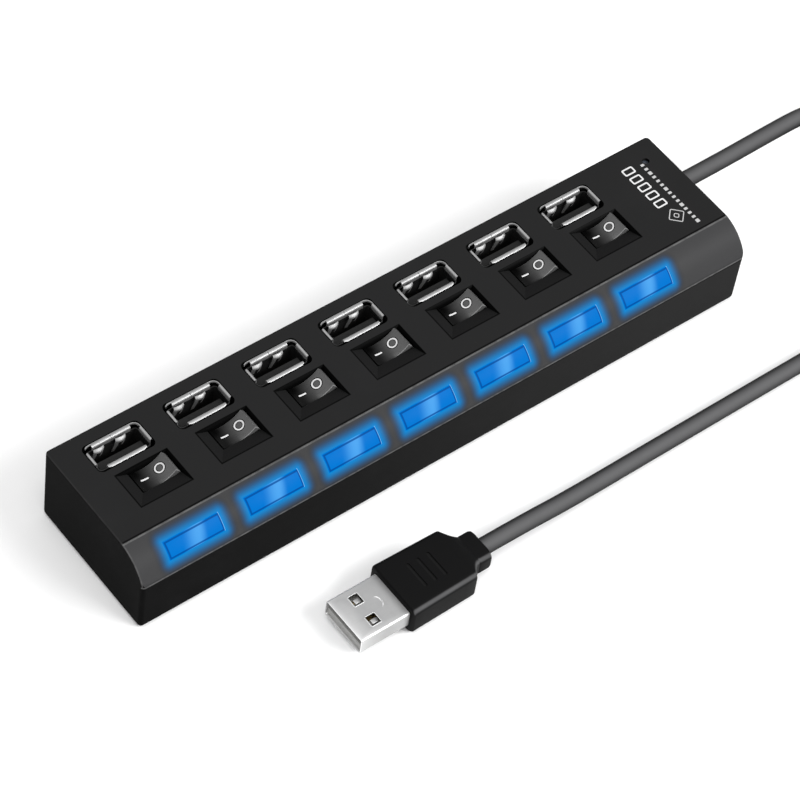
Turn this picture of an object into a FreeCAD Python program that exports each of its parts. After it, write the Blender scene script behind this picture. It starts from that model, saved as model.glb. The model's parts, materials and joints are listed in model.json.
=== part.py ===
import FreeCAD, Part
import math
import os
import Sketcher

# A seven-port desk hub: a long black housing with seven upright sockets along its back,
# a small rocker switch in a sunken pocket in front of each, a lit window for each on the
# sloped front edge, and one lead that ends in a flat plug.
# +X runs along the housing towards the lead, -Y is the window side and +Z is up.
# The origin is on the surface it stands on, below the middle of the housing.

Vector = FreeCAD.Vector
doc = FreeCAD.newDocument("hub")
sheet = doc.addObject("Spreadsheet::Sheet", "sizes")
NAMED = {}


class Size:
    """A number that remembers the sheet expression it came from."""

    def __init__(self, value, text):
        self.value = float(value)
        self.text = text

    def _joined(self, other, sign, value, swap=False):
        mine, its = self.text, other.text if isinstance(other, Size) else f"{other:.10g}"
        return Size(value, f"({its} {sign} {mine})" if swap else f"({mine} {sign} {its})")

    def __add__(self, other):
        return self._joined(other, "+", self.value + number(other))

    def __radd__(self, other):
        return self._joined(other, "+", number(other) + self.value, True)

    def __sub__(self, other):
        return self._joined(other, "-", self.value - number(other))

    def __rsub__(self, other):
        return self._joined(other, "-", number(other) - self.value, True)

    def __mul__(self, other):
        return self._joined(other, "*", self.value * number(other))

    def __rmul__(self, other):
        return self._joined(other, "*", number(other) * self.value, True)

    def __truediv__(self, other):
        return self._joined(other, "/", self.value / number(other))

    def __rtruediv__(self, other):
        return self._joined(other, "/", number(other) / self.value, True)

    def __neg__(self):
        return Size(-self.value, f"(0 - {self.text})")


def number(value):
    return value.value if isinstance(value, Size) else float(value)


def root(value):
    return Size(math.sqrt(value.value), f"sqrt({value.text})")


def angle_of(rise, run):
    return Size(
        math.degrees(math.atan2(rise.value, run.value)), f"atan2({rise.text}; {run.text})"
    )


def named(alias, value, note):
    """Writes one driving size into the sheet and returns it."""
    row = len(NAMED) + 1
    sheet.set(f"A{row}", note)
    sheet.set(f"B{row}", str(value))
    sheet.setAlias(f"B{row}", alias)
    NAMED[alias] = value
    return Size(value, f"sizes.{alias}")


# --- the driving sizes -------------------------------------------------------------

PORTS = 7

body_length = named("body_length", 161.5, "housing, end to end")
body_depth = named("body_depth", 35.3, "housing, back to front")
body_height = named("body_height", 20.8, "housing, surface to top face")
top_depth = named("top_depth", 27.7, "top face, back edge to the slope")
slope_drop = named("slope_drop", 6.7, "height of the sloped front edge")
slope_bulge = named("slope_bulge", 1.4, "how far the slope is rounded outwards")
wall = named("wall", 1.8, "side walls")
roof = named("roof", 1.9, "top wall")
corner_round = named("corner_round", 1.0, "upright outer corners")
edge_round = named("edge_round", 0.3, "edges round the top face and the slope")
foot_round = named("foot_round", 1.4, "lower outer edge")
fit_gap = named("fit_gap", 0.1, "gap between pieces that drop into each other")

pitch = named("pitch", 20.0, "from one socket to the next")
first_port = named("first_port", 13.5, "left end to the first socket's middle")
port_inset = named("port_inset", 7.0, "back edge to the sockets' middle line")
port_inner_x = named("port_inner_x", 12.3, "socket opening, long side")
port_inner_y = named("port_inner_y", 5.1, "socket opening, short side")
shell_sheet = named("shell_sheet", 0.3, "socket sheet metal")
lip_long = named("lip_long", 0.7, "how far the long lips turn out")
lip_short = named("lip_short", 0.3, "how far the short lips turn out")
lip_rise = named("lip_rise", 0.2, "lips above the top face")
lip_corner = named("lip_corner", 1.3, "open corner between two lips")
lip_gap = named("lip_gap", 0.3, "gap between the lips and the housing")
tongue_x = named("tongue_x", 11.1, "socket tongue, long side")
tongue_y = named("tongue_y", 1.84, "socket tongue thickness")
tongue_front = named("tongue_front", 0.72, "gap in front of the tongue")
tongue_tip = named("tongue_tip", 2.3, "tongue tip below the lips")
tongue_base = named("tongue_base", 3.0, "block under the tongue")
contact_x = named("contact_x", 0.9, "contact strip width")
contact_y = named("contact_y", 0.3, "contact strip thickness")
contact_pitch = named("contact_pitch", 2.4, "contact strip spacing")
contact_tip = named("contact_tip", 1.4, "contact strip end below the tongue tip")
leg_x = named("leg_x", 1.6, "socket leg width")

board_floor = named("board_floor", 4.0, "underside of the circuit board above the surface")
board_thick = named("board_thick", 1.6, "circuit board")
board_gap = named("board_gap", 0.8, "circuit board to the walls")
pin_gap = named("pin_gap", 0.1, "round each pin through the board")
pin_drop = named("pin_drop", 0.6, "pins below the board")

cover_thick = named("cover_thick", 1.8, "bottom cover plate")
post_radius = named("post_radius", 2.3, "screw posts")
screw_radius = named("screw_radius", 1.0, "screw shank")
screw_clear = named("screw_clear", 0.15, "round the shank in the cover and board")
head_radius = named("head_radius", 1.9, "screw head")
head_high = named("head_high", 1.1, "screw head height")
head_sunk = named("head_sunk", 0.2, "screw head above the surface")
screw_long = named("screw_long", 11.0, "screw shank length")
boss_depth = named("boss_depth", 1.5, "boss hole past the screw tip")
post_gap = named("post_gap", 0.5, "screw posts to the walls and the sockets")
post_behind = named("post_behind", 2.0, "slope's top edge to the front screws")
post_right = named("post_right", 8.85, "right end to the right screws")

pivot_shift = named("pivot_shift", 2.93, "socket middle to the rocker's pivot, along the hub")
pivot_inset = named("pivot_inset", 15.72, "back edge to the rocker's middle line")
pivot_drop = named("pivot_drop", 3.78, "top face to the rocker's pivot")
rocker_radius = named("rocker_radius", 5.2, "rocker ends, about the pivot")
rocker_half = named("rocker_half", 4.05, "half of the rocker's top, end to end")
rocker_dish = named("rocker_dish", 1.4, "how deep the rocker's top is dished")
rocker_under = named("rocker_under", 1.78, "rocker underside below the pivot")
rocker_width = named("rocker_width", 5.4, "rocker, front to back")
rocker_gap = named("rocker_gap", 0.15, "rocker to its pocket, each side")
rocker_tilt = named("rocker_tilt", 11.2, "tilt each way, degrees")
trunnion_radius = named("trunnion_radius", 0.7, "rocker pins")
trunnion_reach = named("trunnion_reach", 0.65, "rocker pins beyond the rocker")
trunnion_gap = named("trunnion_gap", 0.05, "rocker pins in their holes")
pocket_deep = named("pocket_deep", 1.5, "depth of the sloped pocket")
bevel_left = named("bevel_left", 3.05, "pocket's left bevel, seen from above")
bevel_right = named("bevel_right", 0.15, "pocket's right bevel, seen from above")
bevel_front = named("bevel_front", 3.62, "pocket's front bevel, seen from above")
bevel_back = named("bevel_back", 0.12, "pocket's back bevel, seen from above")
mouth_gap = named("mouth_gap", 0.175, "rocker's sweep to the pocket mouth's ends")
mouth_flare = named("mouth_flare", 0.55, "how much the mouth widens below")
mouth_over = named("mouth_over", 0.5, "how far the mouth's cut runs past its plate")
hollow_over = named("hollow_over", 1.0, "how far the hollow's cut runs out below")
pocket_plate = named("pocket_plate", 1.15, "plate under the pocket's mouth")
pocket_margin = named("pocket_margin", 0.9, "plate beyond the pocket's edge")
frame_wall_x = named("frame_wall_x", 0.85, "switch frame end walls")
frame_wall_y = named("frame_wall_y", 0.95, "switch frame side walls")
frame_room = named("frame_room", 0.25, "rocker's sweep to the frame's ends")
frame_floor = named("frame_floor", 4.0, "pivot to the switch frame's inner floor")
blade_x = named("blade_x", 0.6, "switch terminal thickness")
blade_y = named("blade_y", 1.8, "switch terminal width")
blade_half = named("blade_half", 3.2, "switch middle to each terminal")

window_x = named("window_x", 13.9, "lit window, along the hub")
window_up = named("window_up", 4.3, "lit window, up the slope")
window_place = named("window_place", 5.25, "slope's top edge to the window's middle")
window_shift = named("window_shift", 1.0, "socket middle to window middle, along the hub")
window_flange = named("window_flange", 0.8, "window flange thickness")
window_margin = named("window_margin", 0.7, "window flange beyond the window")
led_radius = named("led_radius", 1.5, "indicator lamp")
led_high = named("led_high", 8.0, "indicator lamp above the board")
led_inset = named("led_inset", 30.0, "back edge to the indicator lamps")
pilot_radius = named("pilot_radius", 0.75, "power lamp")
pilot_gap = named("pilot_gap", 0.08, "round the power lamp in its hole")
pilot_sunk = named("pilot_sunk", 0.7, "power lamp below the top face")
pilot_right = named("pilot_right", 5.1, "right end to the power lamp")
pilot_inset = named("pilot_inset", 5.6, "back edge to the power lamp")

chip_x = named("chip_x", 3.9, "controller chip, along the hub")
chip_y = named("chip_y", 9.9, "controller chip, across the hub")
chip_z = named("chip_z", 1.5, "controller chip height")
chip_right = named("chip_right", 14.5, "right end to the controller chips")
chip_gap = named("chip_gap", 1.5, "between the two controller chips")
chip_back = named("chip_back", 8.8, "back edge to the controller chips")
can_radius = named("can_radius", 2.0, "filter capacitor")
can_high = named("can_high", 7.0, "filter capacitor height")
can_gap = named("can_gap", 0.4, "between the two capacitors")
can_back = named("can_back", 13.4, "back edge to the capacitors")
can_right = named("can_right", 8.85, "right end to the capacitors")
crystal_x = named("crystal_x", 5.0, "crystal can, along the hub")
crystal_y = named("crystal_y", 3.2, "crystal can, across the hub")
crystal_z = named("crystal_z", 1.3, "crystal can height")
crystal_right = named("crystal_right", 15.2, "right end to the crystal")

cord_thick = named("cord_thick", 4.0, "lead diameter")
cord_high = named("cord_high", 12.0, "lead's outlet above the surface")
cord_inset = named("cord_inset", 9.5, "back edge to the lead's outlet")
collar_radius = named("collar_radius", 3.2, "grommet collar outside the wall")
collar_long = named("collar_long", 2.6, "grommet collar outside the wall, length")
neck_radius = named("neck_radius", 2.8, "grommet in the wall")
flange_radius = named("flange_radius", 3.7, "grommet flange inside the wall")
flange_long = named("flange_long", 1.2, "grommet flange thickness")
wire_radius = named("wire_radius", 0.5, "one inner wire")
wire_pitch = named("wire_pitch", 1.3, "inner wire spacing")
wire_run = named("wire_run", 2.6, "inner wires, level stretch from the grommet")

plug_front = named("plug_front", 35.2, "hub's middle to the plug grip's front face")
plug_away = named("plug_away", 42.1, "hub's middle line to the plug's")
grip_high = named("grip_high", 8.0, "plug grip height")
grip_half = named("grip_half", 7.4, "half of the plug grip's width")
grip_long = named("grip_long", 16.2, "plug grip, its wide part")
grip_taper = named("grip_taper", 3.0, "plug grip, its taper")
grip_hollow = named("grip_hollow", 0.7, "how far the taper is hollowed")
collar_half = named("collar_half", 4.1, "half of the plug grip's neck width")
grip_neck = named("grip_neck", 3.1, "plug grip, its neck")
grip_round = named("grip_round", 1.5, "plug grip's long edges")
fold_round = named("fold_round", 0.8, "plug grip's upright edges")
plug_x = named("plug_x", 12.4, "plug shell beyond the grip")
plug_y = named("plug_y", 12.0, "plug shell width")
plug_z = named("plug_z", 4.5, "plug shell height")
plug_inside = named("plug_inside", 3.0, "plug shell inside the grip")
plug_tip = named("plug_tip", 0.4, "insulator behind the shell's mouth")
insulator_z = named("insulator_z", 1.95, "plug insulator thickness")
plug_strip_x = named("plug_strip_x", 7.4, "plug contact length")
plug_strip_y = named("plug_strip_y", 1.0, "plug contact width")
plug_strip_z = named("plug_strip_z", 0.25, "plug contact thickness")
plug_strip_back = named("plug_strip_back", 1.2, "shell's mouth to the contacts")
slot_x = named("slot_x", 2.3, "plug shell window, along the plug")
slot_y = named("slot_y", 2.5, "plug shell window, across the plug")
slot_back = named("slot_back", 5.2, "shell's mouth to its windows' middle")
slot_half = named("slot_half", 2.9, "plug middle to each window's middle")

coil_x = named("coil_x", 146.0, "put-away coil's middle, along the hub")
coil_y = named("coil_y", -16.5, "put-away coil's middle, across the hub")
coil_inner = named("coil_inner", 18.3, "coil bundle, inner radius")
coil_outer = named("coil_outer", 26.6, "coil bundle, outer radius")
coil_high = named("coil_high", 8.2, "coil bundle height")
coil_round = named("coil_round", 2.0, "coil bundle's rounded edges")
tie_wide = named("tie_wide", 6.0, "coil tie's width")
tie_thick = named("tie_thick", 0.6, "coil tie's thickness")

# The lead's route, chosen by hand, from the grommet to the coil and from the coil to the plug.
HUB_TO_COIL = [
    (83.35, 8.15, 12.0),
    (95.0, 8.15, 12.0),
    (110.0, 8.5, 12.0),
    (123.0, 8.9, 11.6),
    (135.0, 8.6, 8.2),
    (146.0, 8.0, 6.1),
]
COIL_TO_PLUG = [
    (146.0, -41.0, 2.0),
    (132.0, -41.1, 2.0),
    (108.0, -40.9, 2.0),
    (75.0, -41.1, 2.0),
    (38.0, -41.3, 2.0),
    (13.0, -41.8, 2.5),
    (-1.5, -42.1, 4.0),
    (-12.9, -42.1, 4.0),
]

# --- places worked out from the sizes ----------------------------------------------

right_end = body_length / 2
left_end = -right_end
back_face = body_depth / 2
front_face = -back_face
slope_top = back_face - top_depth
slope_run = slope_top - front_face
slope_foot = body_height - slope_drop
slope_long = root(slope_run * slope_run + slope_drop * slope_drop)
slope_angle = angle_of(slope_drop, slope_run)
slope_sin = slope_drop / slope_long
slope_cos = slope_run / slope_long
roof_under = body_height - roof
board_top = board_floor + board_thick
inner_half = right_end - wall

port_y = back_face - port_inset
shell_x = port_inner_x + shell_sheet * 2
shell_y = port_inner_y + shell_sheet * 2
rim_x = shell_x + lip_short * 2
rim_y = shell_y + lip_long * 2
lip_top = body_height + lip_rise
tongue_top = lip_top - tongue_tip
tongue_mid = port_y - port_inner_y / 2 + tongue_front + tongue_y / 2
contact_mid = tongue_mid + tongue_y / 2 - contact_y / 2

pivot_y = back_face - pivot_inset
pivot_z = body_height - pivot_drop
mouth_z = body_height - pocket_deep
plate_under = mouth_z - pocket_plate
mouth_rise = pivot_drop - pocket_deep
mouth_half = root(rocker_radius * rocker_radius - mouth_rise * mouth_rise) + mouth_gap
mouth_y = rocker_width / 2 + rocker_gap
pocket_left = mouth_half + bevel_left
pocket_right = mouth_half + bevel_right
pocket_front = mouth_y + bevel_front
pocket_back = mouth_y + bevel_back
cavity_half = rocker_radius + frame_room
frame_half_x = cavity_half + frame_wall_x
frame_half_y = mouth_y + frame_wall_y
cavity_floor = pivot_z - frame_floor

plug_mid = grip_high / 2
grip_end = grip_taper + grip_long + grip_neck - plug_front

PORT_XS = [left_end + first_port + pitch * i for i in range(PORTS)]
PIVOT_XS = [x + pivot_shift for x in PORT_XS]
WINDOW_XS = [x + window_shift for x in PORT_XS]
LEFT_POST_X = left_end + wall + post_gap + post_radius
RIGHT_POST_X = right_end - post_right
POSTS = [
    (LEFT_POST_X, port_y - rim_y / 2 - lip_gap - post_gap - post_radius),
    (RIGHT_POST_X, back_face - wall - post_gap - post_radius),
    (LEFT_POST_X, slope_top + post_behind),
    (RIGHT_POST_X, slope_top + post_behind),
]
CONTACT_OFFSETS = [contact_pitch * (k - 1.5) for k in range(4)]

PIECES = {}


def bind(target, path, value):
    """Ties one property to the sheet, or sets it where it is a plain number."""
    if isinstance(value, Size):
        target.setExpression(path, value.text)
    elif "." not in path:
        setattr(target, path, value)
    elif value:
        target.setExpression(path, f"{value:.10g}")


def place(target, x, y, z, axis=None, angle=0):
    if axis is not None:
        target.Placement = FreeCAD.Placement(
            Vector(number(x), number(y), number(z)),
            FreeCAD.Rotation(Vector(*axis), number(angle)),
        )
        if isinstance(angle, Size):
            target.setExpression("Placement.Rotation.Angle", angle.text)
    for letter, value in zip("xyz", (x, y, z)):
        bind(target, f"Placement.Base.{letter}", value)


def box(label, size, middle, low):
    """A block by its size, the middle of its underside in x and y, and its lowest z."""
    made = doc.addObject("Part::Box", label)
    for name, value in zip(("Length", "Width", "Height"), size):
        bind(made, name, value)
    place(made, middle[0] - size[0] / 2, middle[1] - size[1] / 2, low)
    return made


def rod(label, radius, long, at, axis=None, angle=0):
    """A cylinder that starts at a point and runs along +Z, or along the turned axis."""
    made = doc.addObject("Part::Cylinder", label)
    bind(made, "Radius", radius)
    bind(made, "Height", long)
    place(made, *at, axis, angle)
    return made


def cut(label, base, tools):
    made = doc.addObject("Part::Cut", label)
    made.Base = base
    made.Tool = tools if not isinstance(tools, list) else together(label + "_tools", tools)
    return made


def fuse(label, pieces):
    made = doc.addObject("Part::MultiFuse", label)
    made.Shapes = pieces
    made.Refine = True
    return made


def together(label, pieces):
    """Separate solids in one object."""
    made = doc.addObject("Part::Compound", label)
    made.Links = pieces
    return made


def piece(node, made):
    """Names a finished sub-part: its label is its file's name."""
    made.Label = node
    PIECES[node] = made
    return made


def new_body(name):
    return doc.addObject("PartDesign::Body", name)


def sketch_on(body, role, name, offset=0):
    made = body.newObject("Sketcher::SketchObject", name)
    plane = next(o for o in body.Origin.OriginFeatures if o.Role == role)
    made.AttachmentSupport = (plane, [""])
    made.MapMode = "FlatFace"
    if offset:
        made.setExpression("AttachmentOffset.Base.z", offset.text)
    return made


def outline(sketch, points, bulges=None):
    """A closed outline through bound points. bulges gives the rise of an arc on an edge,
    positive where it swells to the right of the way the outline runs."""
    bulges = bulges or {}
    first = sketch.GeometryCount
    ends = []
    for k, start in enumerate(points):
        stop = points[(k + 1) % len(points)]
        a = Vector(number(start[0]), number(start[1]), 0)
        b = Vector(number(stop[0]), number(stop[1]), 0)
        if k not in bulges:
            sketch.addGeometry(Part.LineSegment(a, b), False)
            ends.append((1, 2))
            continue
        rise = number(bulges[k])
        side = Vector((b - a).y, (a - b).x, 0).normalize()
        arc = Part.Arc(a, (a + b) / 2 + side * rise, b)
        turns_left = rise > 0
        sketch.addGeometry(arc, False)
        ends.append((1, 2) if turns_left else (2, 1))
    for k, start in enumerate(points):
        after = (k + 1) % len(points)
        sketch.addConstraint(
            Sketcher.Constraint("Coincident", first + k, ends[k][1], first + after, ends[after][0])
        )
        for kind, value in zip(("DistanceX", "DistanceY"), start):
            index = sketch.addConstraint(
                Sketcher.Constraint(kind, -1, 1, first + k, ends[k][0], number(value))
            )
            if isinstance(value, Size):
                sketch.setExpression(f"Constraints[{index}]", value.text)
    for k, rise in bulges.items():
        (ax, ay), (bx, by) = points[k], points[(k + 1) % len(points)]
        chord = (bx - ax) * (bx - ax) + (by - ay) * (by - ay)
        high = rise if number(rise) > 0 else -rise
        radius = chord / (high * 8) + high / 2
        index = sketch.addConstraint(Sketcher.Constraint("Radius", first + k, number(radius)))
        sketch.setExpression(f"Constraints[{index}]", radius.text)


def circle(sketch, x, y, radius):
    index = sketch.addGeometry(
        Part.Circle(Vector(number(x), number(y), 0), Vector(0, 0, 1), number(radius)), False
    )
    for kind, value in (("DistanceX", x), ("DistanceY", y)):
        bound = sketch.addConstraint(Sketcher.Constraint(kind, -1, 1, index, 3, number(value)))
        if isinstance(value, Size):
            sketch.setExpression(f"Constraints[{bound}]", value.text)
    bound = sketch.addConstraint(Sketcher.Constraint("Radius", index, number(radius)))
    sketch.setExpression(f"Constraints[{bound}]", radius.text)


def pad(body, sketch, name, long):
    made = body.newObject("PartDesign::Pad", name)
    made.Profile = sketch
    bind(made, "Length", long)
    return made


def rounded(body, feature, name, radius, wanted):
    """A fillet on the edges of a feature that pass a test on their middle and direction."""
    doc.recompute()
    edges = []
    for index, edge in enumerate(feature.Shape.Edges, 1):
        middle = edge.valueAt((edge.FirstParameter + edge.LastParameter) / 2)
        start, stop = edge.valueAt(edge.FirstParameter), edge.valueAt(edge.LastParameter)
        if wanted(middle, (stop - start).normalize() if edge.Length and start != stop else None):
            edges.append(f"Edge{index}")
    made = body.newObject("PartDesign::Fillet", name)
    made.Base = (feature, edges)
    bind(made, "Radius", radius)
    return made


def close(a, b):
    return abs(a - number(b)) < 0.01


# --- housing -----------------------------------------------------------------------


def housing_body():
    """The moulded shell with its rounded edges, screw bosses and the plates under the pockets."""
    body = new_body("housing_shell")
    section = sketch_on(body, "YZ_Plane", "housing_section", left_end)
    outline(
        section,
        [
            (back_face, 0.0),
            (back_face, body_height),
            (slope_top, body_height),
            (front_face, slope_foot),
            (front_face, 0.0),
        ],
        {2: slope_bulge},
    )
    block = pad(body, section, "housing_block", body_length)

    def upright(middle, way):
        return way and abs(way.z) > 0.99 and close(abs(middle.x), right_end)

    corners = rounded(body, block, "housing_corners", corner_round, upright)

    def foot(middle, way):
        return abs(middle.z) < 0.01

    feet = rounded(body, corners, "housing_foot", foot_round, foot)

    def upper(middle, way):
        on_end = close(abs(middle.x), right_end) and middle.z > number(slope_foot) + 0.05
        on_top = close(middle.z, body_height)
        on_fold = close(middle.y, front_face) and close(middle.z, slope_foot)
        return on_end or on_top or on_fold

    edges = rounded(body, feet, "housing_edges", edge_round, upper)
    doc.recompute()
    before = edges.Shape.Volume
    hollow = sketch_on(body, "YZ_Plane", "hollow_section", wall - right_end)
    inner_back = back_face - wall
    inner_front = front_face + wall
    # The inner face of the slope is flat and stands one wall inside the slope's chord.
    slope_tan = slope_sin / slope_cos
    inner_top_y = slope_top + wall * slope_sin - (roof - wall * slope_cos) / slope_tan
    inner_foot_z = slope_foot - wall * slope_cos + wall * (1 - slope_sin) * slope_tan
    outline(
        hollow,
        [
            (inner_back, -hollow_over),
            (inner_back, roof_under),
            (inner_top_y, roof_under),
            (inner_front, inner_foot_z),
            (inner_front, -hollow_over),
        ],
    )
    pocket = body.newObject("PartDesign::Pocket", "housing_hollow")
    pocket.Profile = hollow
    bind(pocket, "Length", inner_half * 2)
    pocket.Reversed = True
    doc.recompute()
    if pocket.Shape.Volume > 0.6 * before:
        raise ValueError("the housing's hollow was not cut")

    bosses = sketch_on(body, "XY_Plane", "boss_circles", board_top)
    for x, y in POSTS:
        circle(bosses, x, y, post_radius)
    pad(body, bosses, "housing_bosses", roof_under - board_top + roof / 4)
    plates = sketch_on(body, "XY_Plane", "plate_outlines", plate_under)
    for x in PIVOT_XS:
        outline(
            plates,
            [
                (x - pocket_left - pocket_margin, pivot_y - pocket_front - pocket_margin),
                (x + pocket_right + pocket_margin, pivot_y - pocket_front - pocket_margin),
                (x + pocket_right + pocket_margin, pivot_y + pocket_back + pocket_margin),
                (x - pocket_left - pocket_margin, pivot_y + pocket_back + pocket_margin),
            ],
        )
    body.Tip = pad(body, plates, "housing_plates", roof_under - plate_under + roof / 4)
    return body


def window_point(up, out):
    """A point on the slope's chord: up from the window's middle, and out from the chord."""
    along = window_place - up
    y = slope_top - along * slope_cos - out * slope_sin
    z = body_height - along * slope_sin + out * slope_cos
    return y, z


def slope_block(label, x, size, out):
    """A block that stands on the slope: its underside is 'out' beyond the chord."""
    y, z = window_point(-(size[1] / 2), out)
    made = doc.addObject("Part::Box", label)
    for name, value in zip(("Length", "Width", "Height"), size):
        bind(made, name, value)
    place(made, x - size[0] / 2, y, z, (1, 0, 0), slope_angle)
    return made


def wedge(label, low, high, at):
    """A block with a rectangle below and another above, each as (x0, x1, y0, y1) and z."""
    made = doc.addObject("Part::Wedge", label)
    (x0, x1, y0, y1, z0), (u0, u1, v0, v1, z1) = low, high
    limits = {
        "Xmin": x0,
        "Xmax": x1,
        "Zmin": -y1,
        "Zmax": -y0,
        "X2min": u0,
        "X2max": u1,
        "Z2min": -v1,
        "Z2max": -v0,
        "Ymin": z0,
        "Ymax": z1,
    }
    for name, value in limits.items():
        bind(made, name, value)
    place(made, *at, (1, 0, 0), 90)
    return made


def build_housing():
    shell = housing_body()
    funnels, mouths, openings = [], [], []
    for i, x in enumerate(PIVOT_XS, 1):
        funnels.append(
            wedge(
                f"pocket_funnel_{i}",
                (-mouth_half, mouth_half, -mouth_y, mouth_y, mouth_z - body_height),
                (-pocket_left, pocket_right, -pocket_front, pocket_back, Size(0.0, "0")),
                (x, pivot_y, body_height),
            )
        )
        wide = mouth_half + mouth_flare
        mouths.append(
            wedge(
                f"pocket_mouth_{i}",
                (-wide, wide, -mouth_y, mouth_y, plate_under - mouth_z - mouth_over),
                (-mouth_half, mouth_half, -mouth_y, mouth_y, Size(0.0, "0")),
                (x, pivot_y, mouth_z),
            )
        )
    for i, x in enumerate(PORT_XS, 1):
        cutout = box(
            f"port_cutout_block_{i}",
            (rim_x + lip_gap * 2, rim_y + lip_gap * 2, roof * 2),
            (x, port_y),
            roof_under - roof / 2,
        )
        doc.recompute()
        soft = doc.addObject("Part::Fillet", f"port_cutout_{i}")
        soft.Base = cutout
        radius = number(lip_corner)
        edges = [
            (n, radius, radius)
            for n, edge in enumerate(cutout.Shape.Edges, 1)
            if abs(edge.tangentAt(edge.FirstParameter).z) > 0.99
        ]
        soft.Edges = edges
        openings.append(soft)
    for i, x in enumerate(WINDOW_XS, 1):
        openings.append(
            slope_block(f"window_cutout_{i}", x, (window_x, window_up, wall * 4), -(wall * 2))
        )
    pilot_x, pilot_y = right_end - pilot_right, back_face - pilot_inset
    openings.append(
        rod(
            "pilot_hole",
            pilot_radius + pilot_gap,
            roof * 2,
            (pilot_x, pilot_y, roof_under - roof / 2),
        )
    )
    openings.append(
        rod(
            "outlet_hole",
            neck_radius,
            wall * 2,
            (inner_half - wall / 2, back_face - cord_inset, cord_high),
            (0, 1, 0),
            90,
        )
    )
    for i, (x, y) in enumerate(POSTS, 1):
        openings.append(
            rod(
                f"boss_hole_{i}",
                screw_radius,
                head_sunk + head_high + screw_long + boss_depth - board_top,
                (x, y, board_top),
            )
        )
    sunk = cut("housing_sunk", shell, funnels)
    bored = cut("housing_bored", sunk, mouths)
    piece("top_housing", cut("housing_open", bored, openings))


def build_cover():
    """The plate that closes the housing from below, with a spacer post round each screw."""
    across = (inner_half - fit_gap) * 2, body_depth - (wall + fit_gap) * 2
    plate = box("cover_plate", (*across, cover_thick), (0.0, 0.0), 0.0)
    posts = [
        rod(f"cover_post_{i}", post_radius, board_floor - cover_thick, (x, y, cover_thick))
        for i, (x, y) in enumerate(POSTS, 1)
    ]
    holes = []
    for i, (x, y) in enumerate(POSTS, 1):
        sink = rod(
            f"cover_sink_{i}", head_radius + screw_clear, head_sunk + head_high, (x, y, 0.0)
        )
        bore = rod(f"cover_bore_{i}", screw_radius + screw_clear, board_top, (x, y, 0.0))
        holes.append(fuse(f"cover_hole_{i}", [sink, bore]))
    piece("bottom_cover", cut("cover_drilled", fuse("cover_solid", [plate, *posts]), holes))


def build_screws():
    screws = []
    for i, (x, y) in enumerate(POSTS, 1):
        head = rod(f"screw_head_{i}", head_radius, head_high, (x, y, head_sunk))
        shank = rod(f"screw_shank_{i}", screw_radius, screw_long, (x, y, head_sunk + head_high))
        recess = box(
            f"screw_slot_{i}",
            (head_radius * 1.2, head_radius * 0.3, head_high * 0.5),
            (x, y),
            head_sunk,
        )
        cross = box(
            f"screw_cross_{i}",
            (head_radius * 0.3, head_radius * 1.2, head_high * 0.5),
            (x, y),
            head_sunk,
        )
        drive = fuse(f"screw_drive_{i}", [recess, cross])
        screws.append(cut(f"screw_{i}", fuse(f"screw_solid_{i}", [head, shank]), drive))
    piece("cover_screws", together("screw_group", screws))


# --- circuit board and what stands on it -------------------------------------------

blade_xs = [x + blade_half * side for x in PIVOT_XS for side in (-1, 1)]
leg_places = [
    (x, port_y + (shell_y / 2 - shell_sheet / 2) * side) for x in PORT_XS for side in (-1, 1)
]


def build_board():
    gap = pin_gap * 2
    blank = box(
        "board_blank",
        ((inner_half - board_gap) * 2, body_depth - (wall + board_gap) * 2, board_thick),
        (0.0, 0.0),
        board_floor,
    )
    deep = board_thick * 2
    low = board_floor - board_thick / 2
    holes = [
        rod(f"board_screw_{i}", screw_radius + screw_clear, deep, (x, y, low))
        for i, (x, y) in enumerate(POSTS, 1)
    ]
    for i, x in enumerate(blade_xs, 1):
        size = (blade_x + gap, blade_y + gap, deep)
        holes.append(box(f"board_blade_{i}", size, (x, pivot_y), low))
    for i, (x, y) in enumerate(leg_places, 1):
        holes.append(box(f"board_leg_{i}", (leg_x + gap, shell_sheet + gap, deep), (x, y), low))
    for i, x in enumerate(PORT_XS, 1):
        for k, offset in enumerate(CONTACT_OFFSETS, 1):
            size = (contact_x + gap, contact_y + gap, deep)
            holes.append(box(f"board_pin_{i}_{k}", size, (x + offset, contact_mid), low))
    piece("circuit_board", cut("board_drilled", blank, holes))


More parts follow.
